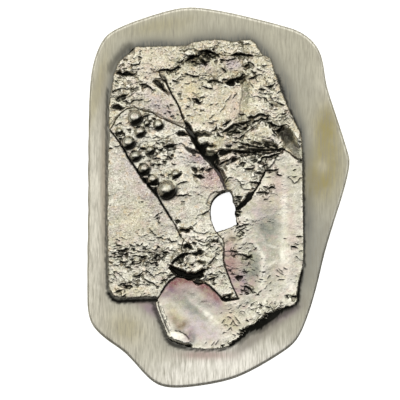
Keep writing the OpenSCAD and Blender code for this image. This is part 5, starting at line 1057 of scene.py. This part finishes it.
# Small wrinkles with painted shade under their lips, then pits, black with patina and painted shade
chance = np.random.default_rng(WRINKLE_SEED)
for _ in range(WRINKLE_TRIES):
    u, v, pick, long, lean, bend, broad, tall = chance.random(8)
    x, y, share = crumple_at(u, v)
    if share > 0.1 and pick < share:
        half = 0.15 + 0.5 * long**2
        angle = math.radians((lean - 0.5) * 80)
        ax, ay = half * math.cos(angle), half * math.sin(angle)
        sag = -(bend - 0.2) * half * 0.7
        width = 0.065 + 0.055 * broad
        height = (0.05 + 0.13 * tall) * (0.4 + 0.6 * share)
        press_ledge((x - ax, y - ay, x, y + sag, x + ax, y + ay), width, height, 0.15 + 0.4 * tall)
chance = np.random.default_rng(PIT_SEED)
for _ in range(PIT_TRIES):
    u, v, pick, size, deep = chance.random(5)
    x, y, share = crumple_at(u, v)
    if pick < share:
        wide = 0.05 + 0.09 * size**2
        part = window_of(x - 0.5, y - 0.5, x + 0.5, y + 0.5)
        near_x, near_y = strayed(part)
        dent = np.exp(-((near_x - x) ** 2 + (near_y - y) ** 2) / wide**2)
        relief[part] -= (0.03 + 0.09 * deep) * dent
        lay(shade_and_patina_black, part, (0.3 + 0.6 * deep) * held(1.6 * dent - 0.3))

# Painted shadow that each melted ball throws on the band towards the lower right
for x, y, wide, _ in GRANULES:
    part = window_of(x - wide, y - wide, x + wide, y + wide)
    dx, dy = (grid_x[part] - x) / (0.5 * wide), (grid_y[part] - y) / (0.5 * wide)
    away = np.hypot(dx, dy)
    below = held(to_lower_right(dx, dy) / np.maximum(away, 0.1) * 1.6)
    lay(shade_and_patina_black, part, held(1.1 - np.abs(away - 1.08) / 0.28) * below)

for *row, rise in SWELLS:
    relief += rise * spot(grid_x, grid_y, *row)

# What the finished heights give: black of patina in valleys, painted shade on faces turned from the
# light, olive painted shade in dips, and wear with painted highlights on raised places
nearby, wider = soften(relief, NEARBY), soften(relief, WIDER)
valley = held((nearby - relief - 0.05) / 0.12)
sunk = held((wider - relief - 0.02) / 0.22)
# Painted shade on faces that slope away from the light
steep = held((np.gradient(relief, STEP, axis=0) - 0.7) / 0.8)
hollow = held(np.maximum(shade_and_patina_black, 0.3 * valley + 0.2 * steep + 0.12 * sunk))
# Painted olive shade in valleys, broad dips and the low lines of the fine net
olive = held(0.8 * valley + 0.6 * sunk + 0.65 * polish * held(net))
# Wear and painted highlights on raised places and lit lips
proud = np.maximum(held((relief - nearby) / 0.07), 0.8 * held((relief - wider) / 0.16))
proud = np.maximum(proud, highlight_and_wear) * (1 - hollow)


# Meshes

def deselect():
    """Leaves nothing selected."""
    bpy.ops.object.select_all(action="DESELECT")


def take_up(piece):
    """Makes a piece the only selected object."""
    deselect()
    piece.select_set(True)
    bpy.context.view_layer.objects.active = piece


def places(piece):
    """Corners of a piece, in mm."""
    co = np.zeros(len(piece.data.vertices) * 3)
    piece.data.vertices.foreach_get("co", co)
    return co.reshape(-1, 3) / MM


def place(piece, co):
    """Moves the corners of a piece to places in mm."""
    piece.data.vertices.foreach_set("co", (co * MM).ravel())
    piece.data.update()


def new_grid(name, columns, rows):
    """A flat grid, and its corners as shares from 0 to 1."""
    deselect()
    bpy.ops.mesh.primitive_grid_add(x_subdivisions=columns, y_subdivisions=rows, size=1)
    grid = bpy.context.object
    grid.name = grid.data.name = name
    return grid, places(grid) * MM + 0.5


def packed_mesh(node):
    """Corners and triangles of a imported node, in mm."""
    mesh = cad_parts[node].data
    mesh.calc_loop_triangles()
    corners = np.array([v.co for v in mesh.vertices]) / MM
    triangles = np.array([t.vertices for t in mesh.loop_triangles])
    return corners, triangles


def underside_outline(node):
    """The loop round a node's flat underside."""
    corners, triangles = packed_mesh(node)
    low = corners[:, 2].min()
    flat = triangles[(corners[triangles][:, :, 2] < low + 0.01).all(1)]
    names = {}
    keys = [names.setdefault(tuple(np.round(c[:2], 3)), len(names)) for c in corners]
    edges = set()
    for t in flat:
        a, b, c = (keys[k] for k in t)
        for p, q in ((a, b), (b, c), (c, a)):
            if (q, p) in edges:
                edges.remove((q, p))
            else:
                edges.add((p, q))
    follow = dict(edges)
    start = min(follow)
    loop = [start]
    while follow[loop[-1]] != start:
        loop.append(follow[loop[-1]])
    return np.array(list(names))[loop]


def redraw(loop, row):
    """An outline with the shorter stretch between a path's ends replaced by the path."""
    path = points_of(row)
    first, last = (int(np.argmin(np.hypot(*(loop - end).T))) for end in (path[0], path[-1]))
    ring = np.roll(loop, -first, axis=0)
    stop = (last - first) % len(loop)
    steps = np.hypot(*np.diff(np.vstack([ring, ring[:1]]), axis=0).T)
    if steps[:stop].sum() < steps[stop:].sum():
        return np.vstack([ring[stop + 1:], path])
    return np.vstack([ring[1:stop], path[::-1]])


def broad_shape(node):
    """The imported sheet's top with its facets smoothed, as a raster, and the raster's corner."""
    corners, triangles = packed_mesh(node)
    tree = BVHTree.FromPolygons(corners.tolist(), triangles.tolist())
    x0, y0 = corners[:, 0].min() - 1, corners[:, 1].min() - 1
    nx = int((corners[:, 0].max() + 1 - x0) / COARSE) + 1
    ny = int((corners[:, 1].max() + 1 - y0) / COARSE) + 1
    balls = GRANULES if node == "granule_strip" else []
    tops, known = np.zeros((ny, nx)), np.zeros((ny, nx))
    for j in range(ny):
        for i in range(nx):
            x, y = x0 + i * COARSE, y0 + j * COARSE
            if any(math.hypot(x - gx, y - gy) < BALL_REACH * wide for gx, gy, wide, _ in balls):
                continue
            hit = tree.ray_cast(Vector((x, y, ABOVE)), Vector((0, 0, -1)))[0]
            if hit is not None:
                tops[j, i], known[j, i] = hit.z, 1
    near, far = soften(known, BROAD_BLUR), soften(known, FILL_BLUR)
    smooth = soften(tops * known, BROAD_BLUR) / np.maximum(near, 1e-4)
    wide = soften(tops * known, FILL_BLUR) / np.maximum(far, 1e-9)
    trust = held(near / 0.02)
    return smooth * trust + wide * (1 - trust), x0, y0


def clean_cells(keep):
    """Fills cells so that no two kept cells meet at a corner only."""
    changed = True
    while changed:
        a, b, c, d = keep[:-1, :-1], keep[1:, 1:], keep[:-1, 1:], keep[1:, :-1]
        first = a & b & ~c & ~d
        second = c & d & ~a & ~b
        changed = bool(first.any() or second.any())
        keep[:-1, 1:] |= first
        keep[:-1, :-1] |= second
    return keep


def cut_out(piece, drop):
    """Deletes the marked faces of a piece."""
    mesh = piece.data
    mesh.vertices.foreach_set("select", np.zeros(len(mesh.vertices), bool))
    mesh.edges.foreach_set("select", np.zeros(len(mesh.edges), bool))
    mesh.polygons.foreach_set("select", drop)
    take_up(piece)
    bpy.ops.object.mode_set(mode="EDIT")
    bpy.ops.mesh.select_mode(type="FACE")
    bpy.ops.mesh.delete(type="FACE")
    bpy.ops.object.mode_set(mode="OBJECT")


def sheet_blank(node, loop):
    """A flat fine grid cut to a sheet's outline."""
    x0, y0 = loop.min(0) - CELL
    x1, y1 = loop.max(0) + CELL
    nx, ny = int((x1 - x0) / CELL), int((y1 - y0) / CELL)
    blank, co = new_grid(node + "_relief", nx, ny)
    co[:, 0] = x0 + co[:, 0] * nx * CELL
    co[:, 1] = y0 + co[:, 1] * ny * CELL
    co[:, 2] = SHEET_LOW
    place(blank, co)
    mid_x, mid_y = x0 + (np.arange(nx) + 0.5) * CELL, y0 + (np.arange(ny) + 0.5) * CELL
    keep = clean_cells(inside(loop, *np.meshgrid(mid_x, mid_y)))
    centres = np.zeros(len(blank.data.polygons) * 3)
    blank.data.polygons.foreach_get("center", centres)
    centres = centres.reshape(-1, 3) / MM
    column = np.clip(((centres[:, 0] - x0) / CELL).astype(int), 0, nx - 1)
    row = np.clip(((centres[:, 1] - y0) / CELL).astype(int), 0, ny - 1)
    cut_out(blank, ~keep[row, column])
    return blank


def settle_rim(piece, loop):
    """Moves the border onto the outline and evens the cells beside it."""
    mesh = piece.data
    use = np.zeros(len(mesh.edges), int)
    edge_of = np.zeros(len(mesh.loops), int)
    mesh.loops.foreach_get("edge_index", edge_of)
    np.add.at(use, edge_of, 1)
    ends = np.zeros(len(mesh.edges) * 2, int)
    mesh.edges.foreach_get("vertices", ends)
    ends = ends.reshape(-1, 2)
    rim = np.zeros(len(mesh.vertices), bool)
    rim[ends[use == 1].ravel()] = True
    co = places(piece)
    _, co[rim, 0], co[rim, 1] = nearest(loop, co[rim, 0], co[rim, 1])
    near = rim.copy()
    for _ in range(3):
        touched = near[ends[:, 0]] | near[ends[:, 1]]
        near[ends[touched].ravel()] = True
    free = near & ~rim
    for _ in range(6):
        total, count = np.zeros((len(co), 2)), np.zeros(len(co))
        for a, b in ((0, 1), (1, 0)):
            np.add.at(total, ends[:, a], co[ends[:, b], :2])
            np.add.at(count, ends[:, a], 1)
        mean = total / np.maximum(count, 1)[:, None]
        co[free, :2] = mean[free]
    place(piece, co)


def blend(colour, paint, amount):
    """Mixes a paint into colours by an amount for each."""
    colour[:, :3] += amount[:, None] * (np.array(PAINTS[paint]) - colour[:, :3])


def paint_piece(piece, name, x, y, dark, haze=None, bright=None, low=None):
    """Stores the paint of every corner of a piece, with painted highlights and shade, and its tarnish
    with painted shade.
    """
    colour = np.ones((len(x), 4))
    colour[:, :3] = PAINTS[SHEET_PAINT[name]]
    patch = 0.5 + 0.5 * cloud(x, y, 1.3, 1.3, 31) + 0.3 * cloud(x, y, 0.5, 0.5, 32)
    # Painted shade with tarnish beside the relief, on the plate
    if haze is not None:
        blend(colour, "shade_grey", haze)
    else:
        drift = 0.9 * cloud(x, y, 2.4, 1.9, 33) + 0.6 * cloud(x, y, 1.0, 0.8, 34)
        blend(colour, "grey", 0.5 * held(drift))
        blend(colour, "worn_and_highlight", 0.4 * held(-drift))
    # Painted olive shade in the dips
    if low is not None:
        blend(colour, "olive_shade", 0.6 * low)
    # Greys, worn places and painted highlights lie under the bright lips, which carry wear and painted
    # highlights, heat colours over them
    for under in (True, False):
        for paint, *row, strength in STAINS[name]:
            if (paint in ("grey", "worn_and_highlight")) == under:
                blend(colour, paint, strength * held(1.2 * spot(x, y, *row) * (0.75 + 0.5 * patch)))
        if under:
            blend(colour, "worn_and_highlight", bright)
    tint = piece.data.color_attributes.new("tint", "FLOAT_COLOR", "POINT")
    tint.data.foreach_set("color", colour.ravel())
    # Tarnish and painted shade, which the finish draws towards black
    tarnish_and_shade = piece.data.attributes.new("tarnish_and_shade", "FLOAT", "POINT")
    tarnish_and_shade.data.foreach_set("value", held(dark).astype(np.float32))


def swell_beside_granules(x, y):
    """The metal that rises to each melted ball."""
    rise = np.zeros(x.shape)
    for gx, gy, wide, _ in GRANULES:
        away = np.hypot(x - gx, y - gy) / (0.5 * wide)
        rise = np.maximum(rise, 0.08 * wide * np.exp(-(np.maximum(away - 0.7, 0) / 0.25) ** 2))
    return rise


def close_below(piece):
    """Takes the border down to the underside and closes it."""
    take_up(piece)
    bpy.ops.object.mode_set(mode="EDIT")
    bpy.ops.mesh.select_mode(type="VERT")
    bpy.ops.mesh.select_all(action="SELECT")
    # Border corners that settled on the same place of the outline become one
    bpy.ops.mesh.remove_doubles(threshold=SAME_PLACE)
    bpy.ops.mesh.select_mode(type="EDGE")
    bpy.ops.mesh.select_all(action="DESELECT")
    bpy.ops.mesh.select_non_manifold(
        extend=False, use_wire=False, use_boundary=True, use_multi_face=False,
        use_non_contiguous=False, use_verts=False,
    )
    bpy.ops.mesh.extrude_region_move(TRANSFORM_OT_translate={"value": (0, 0, 0)})
    bpy.ops.object.mode_set(mode="OBJECT")
    mesh = piece.data
    chosen = np.zeros(len(mesh.vertices), bool)
    mesh.vertices.foreach_get("select", chosen)
    co = places(piece)
    co[chosen, 2] = SHEET_LOW
    place(piece, co)
    # An even darkening along the foot of the edge, tarnish with painted shade
    tarnish_and_shade = mesh.attributes["tarnish_and_shade"].data
    dark = np.zeros(len(chosen), np.float32)
    tarnish_and_shade.foreach_get("value", dark)
    dark[chosen] = FOOT_TARNISH_AND_SHADE
    tarnish_and_shade.foreach_set("value", dark)
    bpy.ops.object.mode_set(mode="EDIT")
    bpy.ops.mesh.edge_face_add()
    bpy.ops.mesh.select_all(action="SELECT")
    bpy.ops.mesh.normals_make_consistent(inside=False)
    bpy.ops.object.mode_set(mode="OBJECT")
    bpy.ops.object.shade_smooth_by_angle(angle=math.radians(SHEET_CREASE))


def relief_sheet(node, free_round):
    """One sheet of the relief, from its packed outline and folds."""
    loop = OUTLINES[node]
    blank = sheet_blank(node, loop)
    settle_rim(blank, loop)
    co = places(blank)
    x, y = co[:, 0].copy(), co[:, 1].copy()
    edge = nearest(loop, x, y)[0]
    broad, x0, y0 = broad_shape(node)
    rise = read_at(broad, x, y, x0, y0, COARSE)
    rise += read_at(relief, x, y)
    if node == "granule_strip":
        rise += swell_beside_granules(x, y)
    # The border is rounded: tightly along a seam, more where it is free
    beside = np.minimum.reduce([nearest(OUTLINES[other], x, y)[0] for other in SHEETS if other != node])
    free = held((beside - edge - 0.1) / 0.3)
    soft = (SEAM_ROUND + (free_round - SEAM_ROUND) * free) * (1 + 0.3 * cloud(x, y, 1.1, 1.1, 41))
    near = held(1 - edge / soft)
    rise -= soft * 0.8 * (1 - np.sqrt(held(1 - near**2)))
    co[:, 2] = np.maximum(rise, SHEET_LOW + LEAST_RISE)
    sway = held(1 - edge / 0.5)
    co[:, 0] += sway * read_at(WANDER_X, x, y)
    co[:, 1] += sway * read_at(WANDER_Y, x, y)
    place(blank, co)
    # Black of patina and painted shade from the raster, painted shade along the border; wear and painted
    # highlights on raised places, olive painted shade in dips
    dark = np.maximum(read_at(hollow, x, y), (0.15 + 0.35 * free) * held(1 - edge / 0.12))
    paint_piece(blank, node, x, y, dark, bright=0.9 * read_at(proud, x, y), low=read_at(olive, x, y))
    close_below(blank)
    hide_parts(node)
    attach(blank, "root")
    return blank


def fuse_granules(strip):
    """Adds the melted balls to the band as one piece with it."""
    balls = []
    for gx, gy, wide, high in GRANULES:
        deselect()
        bpy.ops.mesh.primitive_uv_sphere_add(
            segments=48, ring_count=24, radius=wide / 2 * MM, location=(gx * MM, gy * MM, high * MM)
        )
        ball = bpy.context.object
        bpy.ops.object.transform_apply(location=True)
        bpy.ops.object.shade_smooth()
        co = places(ball)
        outward = (co - (gx, gy, high)) / (wide / 2)
        co += outward * 0.03 * cloud(co[:, 0], co[:, 1] + co[:, 2], 0.7, 0.7, 51)[:, None]
        co[:, 2] = np.minimum(co[:, 2], BALL_TOP)
        place(ball, co)
        x, y, z = co.T
        dx, dy, _ = outward.T
        # Painted shade on the lower right and round the foot, with a painted highlight band across and a
        # painted lit rim
        shaded = held((to_lower_right(dx, dy) - 0.22 + 0.1 * cloud(x, y, 0.5, 0.5, 52)) / 0.16)
        shaded = np.maximum(shaded, held((high - z) / (0.2 * wide)))
        band = held(1.2 - np.abs(dy - 0.04 + 0.25 * dx * dx) / 0.22) * held((0.95 - np.abs(dx)) / 0.35)
        band *= 1 + 0.4 * cloud(x, y, 0.25, 0.18, 53)
        bright = held(np.maximum(0.68 * band, 0.5 * (np.hypot(dx, dy) - 0.4) / 0.4))
        paint_piece(ball, "ball", x, y, shaded, bright=bright)
        balls.append(ball)
    take_up(strip)
    for ball in balls:
        ball.select_set(True)
    bpy.ops.object.join()


def star_loop(points, smooth):
    """Distances from the window's centre to a loop, at even angles."""
    dx, dy = points[:, 0] - CENTRE[0], points[:, 1] - CENTRE[1]
    angle = np.arctan2(dy, dx)
    order = np.argsort(angle)
    angle, reach = angle[order], np.hypot(dx, dy)[order]
    angle = np.concatenate([angle - 2 * math.pi, angle, angle + 2 * math.pi])
    even = np.linspace(-math.pi, math.pi, AROUND, endpoint=False)
    out = np.interp(even, angle, np.tile(reach, 3))
    for _ in range(smooth):
        out = 0.25 * np.roll(out, 1) + 0.5 * out + 0.25 * np.roll(out, -1)
    return even, out


def back_plate():
    """The smooth plate with its rounded rim and its window, ring by ring."""
    corners, _ = packed_mesh("back_plate")
    from_centre = np.hypot(corners[:, 0] - CENTRE[0], corners[:, 1] - CENTRE[1])
    side = corners[np.abs(corners[:, 2] - (PLATE_LOW + BACK_EDGE)) < LEVEL]
    hole = corners[(np.abs(corners[:, 2] - PLATE_LOW) < LEVEL) & (from_centre < WINDOW_REACH)]
    even, outer = star_loop(side, 3)
    _, inner = star_loop(hole, 1)
    # Rings of the plate: share of the way in to the window, extra inset, height
    rings = [(t, 0, PLATE_LOW) for t in (1, 0.75, 0.5, 0.25)]
    rings += [(0, BACK_EDGE * t, PLATE_LOW + BACK_EDGE * up) for t, up in ((1, 0), (0.3, 0.3), (0, 1))]
    for k in range(RIM_RINGS):
        a = math.pi / 2 * k / (RIM_RINGS - 1)
        rings.append((0, RIM_W * (1 - math.cos(a)), PLATE_FACE - RIM_H + RIM_H * math.sin(a)))
    for k in range(1, FACE_RINGS):
        rings.append((k / FACE_RINGS, RIM_W * (1 - k / FACE_RINGS), PLATE_FACE))
    rings += [(1, -0.12, PLATE_FACE), (1, -0.04, PLATE_FACE - 0.04), (1, 0, PLATE_FACE - 0.12)]
    plate, co = new_grid("plate", AROUND, len(rings))
    turn = np.rint(co[:, 0] * AROUND).astype(int) % AROUND
    ring = np.rint(co[:, 1] * len(rings)).astype(int) % len(rings)
    inward, inset, height = np.array(rings)[ring].T
    reach = outer[turn] * (1 - inward) + inner[turn] * inward - inset
    co[:, 0] = CENTRE[0] + reach * np.cos(even[turn])
    co[:, 1] = CENTRE[1] + reach * np.sin(even[turn])
    co[:, 2] = height
    place(plate, co)
    take_up(plate)
    bpy.ops.object.mode_set(mode="EDIT")
    bpy.ops.mesh.select_all(action="SELECT")
    bpy.ops.mesh.remove_doubles(threshold=0.0001 * MM)
    bpy.ops.mesh.normals_make_consistent(inside=False)
    bpy.ops.object.mode_set(mode="OBJECT")
    bpy.ops.object.shade_smooth_by_angle(angle=math.radians(PLATE_CREASE))
    x, y, z = places(plate).T
    # Painted shadow of the sheets on the plate
    dark = np.maximum(read_at(shadow, x, y, PLATE_LEFT, PLATE_BOTTOM, PLATE_STEP), read_at(shade_and_tarnish_black, x, y))
    dark[z < PLATE_FACE - 0.5] *= 0.3
    # Painted shade with tarnish beside the relief
    dim = read_at(haze, x, y, PLATE_LEFT, PLATE_BOTTOM, PLATE_STEP)
    # Painted highlight along the rounded rim
    rim = held((PLATE_FACE - z) / 0.03) * held((z - PLATE_FACE + 0.45) / 0.1)
    paint_piece(plate, "back_plate", x, y, dark, dim, bright=0.8 * rim)
    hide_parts("back_plate")
    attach(plate, "root")
    plate.data.materials.append(FINISHES["brushed_silver"])


# Finishes

class Wire:
    """A node's output. Arithmetic written on it adds Math nodes."""

    def __init__(self, bench, socket):
        self.bench, self.socket = bench, socket

    def math(self, operation, first, second, clamp=False):
        settings = {"operation": operation, "use_clamp": clamp}
        return self.bench.add("ShaderNodeMath", settings, {0: first, 1: second})

    def __add__(self, other):
        return self.math("ADD", self, other)

    def __mul__(self, other):
        return self.math("MULTIPLY", self, other)

    def __sub__(self, other):
        return self.math("SUBTRACT", self, other)

    def __rsub__(self, other):
        return self.math("SUBTRACT", other, self)

    __radd__, __rmul__ = __add__, __mul__


class Bench:
    """The node tree of a material or of the world."""

    def __init__(self, owner):
        owner.use_nodes = True
        self.owner, self.tree = owner, owner.node_tree
        self.tree.nodes.clear()

    def put(self, socket, value):
        if isinstance(value, Wire):
            self.tree.links.new(value.socket, socket)
        else:
            socket.default_value = value

    def add(self, kind, settings=None, values=None, output=0):
        """Adds a node with its settings and the values or links of its sockets."""
        node = self.tree.nodes.new(kind)
        for key, value in (settings or {}).items():
            setattr(node, key, value)
        for key, value in (values or {}).items():
            self.put(node.inputs[key], value)
        return None if output is None else Wire(self, node.outputs[output])

    def mixed(self, amount, first, second):
        """A colour mixed towards another. The amount is kept between 0 and 1."""
        values = {0: amount, 6: first, 7: second}
        return self.add("ShaderNodeMix", {"data_type": "RGBA"}, values, output=2)

    def facing(self, ray, way):
        """How far a direction points one way."""
        settings = {"operation": "DOT_PRODUCT"}
        return self.add("ShaderNodeVectorMath", settings, {0: ray, 1: way}, output=1)


class Finish(Bench):
    """A material with its shader, and the patterns that the silver shares."""

    def __init__(self, name):
        super().__init__(bpy.data.materials.new(name))
        self.shader = self.tree.nodes.new("ShaderNodeBsdfPrincipled")
        end = self.tree.nodes.new("ShaderNodeOutputMaterial")
        self.tree.links.new(self.shader.outputs[0], end.inputs[0])
        self.where = self.add("ShaderNodeTexCoord", output=3)

    def set(self, **values):
        for key, value in values.items():
            self.put(self.shader.inputs[key.replace("_", " ")], value)

    def clouds(self, scale, detail=3, where=None):
        return self.add("ShaderNodeTexNoise", None, {
            "Vector": where or self.where, "Scale": scale, "Detail": detail, "Roughness": 0.6})

    def stored(self):
        """The paint and the tarnish with painted shade stored on the piece."""
        return (
            self.add("ShaderNodeAttribute", {"attribute_name": "tint"}, output=0),
            self.add("ShaderNodeAttribute", {"attribute_name": "tarnish_and_shade"}, output=2),
        )

    def metal(self, skin, shine, strength, distance, height, shade=None):
        """Metal of a colour, dark where tarnish and painted shade are stored, with a bump."""
        if shade is not None:
            skin = self.mixed(shade, skin, (*PAINTS["shade_and_tarnish_black"], 1))
        self.set(Base_Color=skin, Metallic=1.0, Roughness=shine)
        bump = {"Strength": strength, "Distance": distance, "Height": height}
        self.set(Normal=self.add("ShaderNodeBump", None, bump))
        return self.owner


def relief_silver(name, shine, grain, speckle):
    """Silver of the relief, with its heat colours, and black tarnish in the hollows with painted shade.
    """
    bench = Finish(name)
    tint, tarnish_and_shade = bench.stored()
    fine, grit = bench.clouds(3800), bench.clouds(4600, 2)
    skin = tint
    for mask, colour in (
        (bench.clouds(1500) * 2.2 - 1.05, (0.26, 0.25, 0.20, 1)),
        (bench.clouds(900) * 2.0 - 1.0, (0.60, 0.44, 0.42, 1)),
        (bench.clouds(700) * 2.0 - 1.0, (0.52, 0.52, 0.34, 1)),
        ((bench.clouds(1150) * 2.6 - 1.4) * speckle, (0.70, 0.50, 0.27, 1)),
        ((grit * 4.0 - 2.1) * speckle, (0.13, 0.12, 0.09, 1)),
        ((grit * -4.5 + 1.95) * speckle, (0.97, 0.95, 0.86, 1)),
    ):
        skin = bench.mixed(mask, skin, colour)
    shade = tarnish_and_shade.math("MULTIPLY", tarnish_and_shade, bench.clouds(900) * 0.6 + 0.75, clamp=True)
    height = fine * 0.6 + bench.clouds(1500) * 1.0
    return bench.metal(skin, shine + fine * 0.14 + shade * 0.3, grain, GRAIN_DEPTH, height, shade)


def plate_silver(name):
    """Brushed silver of the plate, with a dark halo of painted shade beside the relief."""
    bench = Finish(name)
    tint, tarnish_and_shade = bench.stored()
    along = bench.add("ShaderNodeMapping", None, {"Vector": bench.where, "Scale": (1, 0.10, 1)})
    brushed = bench.clouds(2500, 2, along) * 0.35 + bench.clouds(5200, 3, along) * 0.6
    shade = tarnish_and_shade.math("MULTIPLY", tarnish_and_shade, bench.clouds(260) * 0.5 + 0.75, clamp=True)
    skin = bench.mixed(brushed * 3.3 - 1.31, tint, (0.30, 0.28, 0.23, 1))
    return bench.metal(skin, 0.34 + brushed * 0.14 + shade * 0.2, 0.35, GRAIN_DEPTH, brushed, shade)


def fitting_silver(name):
    """Plain silver of the fittings behind the plate."""
    bench = Finish(name)
    fine = bench.clouds(1800)
    skin = bench.mixed(fine, (0.74, 0.71, 0.64, 1), (0.52, 0.49, 0.42, 1))
    return bench.metal(skin, 0.25 + fine * 0.2, 0.2, FITTING_GRAIN_DEPTH, fine)


FINISHES = {
    "cream_silver": relief_silver("cream_silver", 0.20, 0.5, 1.0),
    "grey_silver": relief_silver("grey_silver", 0.20, 0.4, 1.0),
    "polished_silver": relief_silver("polished_silver", 0.18, 0.25, 0.25),
    "brushed_silver": plate_silver("brushed_silver"),
    "fitting_silver": fitting_silver("fitting_silver"),
}


# Pieces

OUTLINES = {node: underside_outline(node) for node in SHEETS}
for node, row in REDRAWN:
    OUTLINES[node] = redraw(OUTLINES[node], row)

for node, (finish, free_round) in SHEETS.items():
    piece = relief_sheet(node, free_round)
    if node == "granule_strip":
        fuse_granules(piece)
    piece.data.materials.clear()
    piece.data.materials.append(FINISHES[finish])

# Painted shadow on the plate between and beside the sheets
shade_and_tarnish_black = np.zeros_like(grid_x)
for black, *row in PLATE_HOLLOWS:
    press_hollow(shade_and_tarnish_black, row, black, 0)
for half, black, *row in PLATE_SHADES:
    press_shade(shade_and_tarnish_black, row, half, black)
plate_x, plate_y = np.meshgrid(
    np.arange(PLATE_LEFT, PLATE_RIGHT, PLATE_STEP), np.arange(PLATE_BOTTOM, PLATE_TOP, PLATE_STEP))
covered = np.zeros_like(plate_x)
for node in SHEETS:
    covered = np.maximum(covered, inside(OUTLINES[node], plate_x, plate_y))
# The window's corner, where the plate shows, gets no painted shade
unshaded = 1 - held(1.6 * spot(plate_x, plate_y, *UNSHADED_CORNER))
# Painted shadow of the sheets on the plate close to their edges, and painted shade with tarnish
# spreading wider
shadow = 0.5 * held(soften(covered, 1.5) * 1.7 - 0.25) * unshaded
haze = soften(covered, 6.5) * (2.3 + 0.9 * cloud(plate_x, plate_y, 3.5, 3.5, 71))
haze = np.clip(haze, 0, 0.9) * unshaded
back_plate()

for node in ("pin_finding", "bail"):
    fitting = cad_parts[node]
    fitting.data.materials.clear()
    fitting.data.materials.append(FINISHES["fitting_silver"])


# Studio

def floor():
    """A pale floor that a reflection sees darker on the dark side."""
    deselect()
    bpy.ops.mesh.primitive_plane_add(size=3, location=(0, 0, 0))
    ground = bpy.context.object
    ground.name = "floor"
    bench = Finish("pale_floor")
    seen = bench.add("ShaderNodeLightPath")
    toward = bench.facing(bench.where, (0.3, -0.95, 0))
    near_dark = bench.mixed(toward * 60 - 0.6, (0.85, 0.84, 0.80, 1), (0.16, 0.16, 0.15, 1))
    bench.set(
        Base_Color=bench.mixed(seen, near_dark, (0.95, 0.95, 0.95, 1)), Roughness=0.9,
        Emission_Color=bench.mixed(seen, (0, 0, 0, 1), (1, 1, 1, 1)), Emission_Strength=0.85,
    )
    ground.data.materials.append(bench.owner)


def softbox(name, location, size_x, size_y, power, aim):
    """A rectangular lamp that faces a place and that the camera doesn't see."""
    deselect()
    bpy.ops.object.light_add(type="AREA", location=location)
    lamp = bpy.context.object
    lamp.name = name
    lamp.data.shape = "RECTANGLE"
    lamp.data.size, lamp.data.size_y = size_x, size_y
    lamp.data.energy = power
    lamp.rotation_euler = (Vector(aim) - Vector(location)).to_track_quat("-Z", "Y").to_euler()
    lamp.visible_camera = False


def studio_walls():
    """Walls that are pale on the upper left, dark on the lower right, and white to the camera."""
    world = bpy.data.worlds.new("studio")
    bpy.context.scene.world = world
    room = Bench(world)
    ray = room.add("ShaderNodeTexCoord", output=0)
    walls = (0.012, 0.012, 0.012, 1)
    for way, start, end, most, colour in (
        ((0.35, -0.93, -0.1), 0.45, -0.35, 1.0, (0.36, 0.35, 0.28, 1)),
        ((0, 0, 1), 0.48, 0.14, 0.9, (0.38, 0.375, 0.33, 1)),
    ):
        share = room.add("ShaderNodeMapRange", {"interpolation_type": "SMOOTHSTEP"}, {
            "Value": room.facing(ray, way), "From Min": start, "From Max": end,
            "To Min": 0.0, "To Max": most,
        })
        walls = room.mixed(share, walls, colour)
    around = room.add("ShaderNodeBackground", None, {"Color": walls})
    white = room.add("ShaderNodeBackground", None, {"Color": (1, 1, 1, 1)})
    seen = room.add("ShaderNodeLightPath")
    shown = room.add("ShaderNodeMixShader", None, {0: seen, 1: around, 2: white})
    room.add("ShaderNodeOutputWorld", None, {"Surface": shown}, output=None)


floor()
softbox("overhead", (0.08, 0.38, 0.5), 1.5, 1.36, 6.1, aim=(0.08, 0.38, 0))
studio_walls()
bpy.context.scene.view_settings.view_transform = "Standard"

deselect()
camera_height = FRAME_W * LENS / FILM_W + PLATE_FACE
bpy.ops.object.camera_add(
    location=(VIEW_X * MM, VIEW_Y * MM, camera_height * MM), rotation=(0, 0, 0))
camera = bpy.context.object
camera.data.lens = LENS
camera.data.clip_start, camera.data.clip_end = 0.01, 10
bpy.context.scene.camera = camera
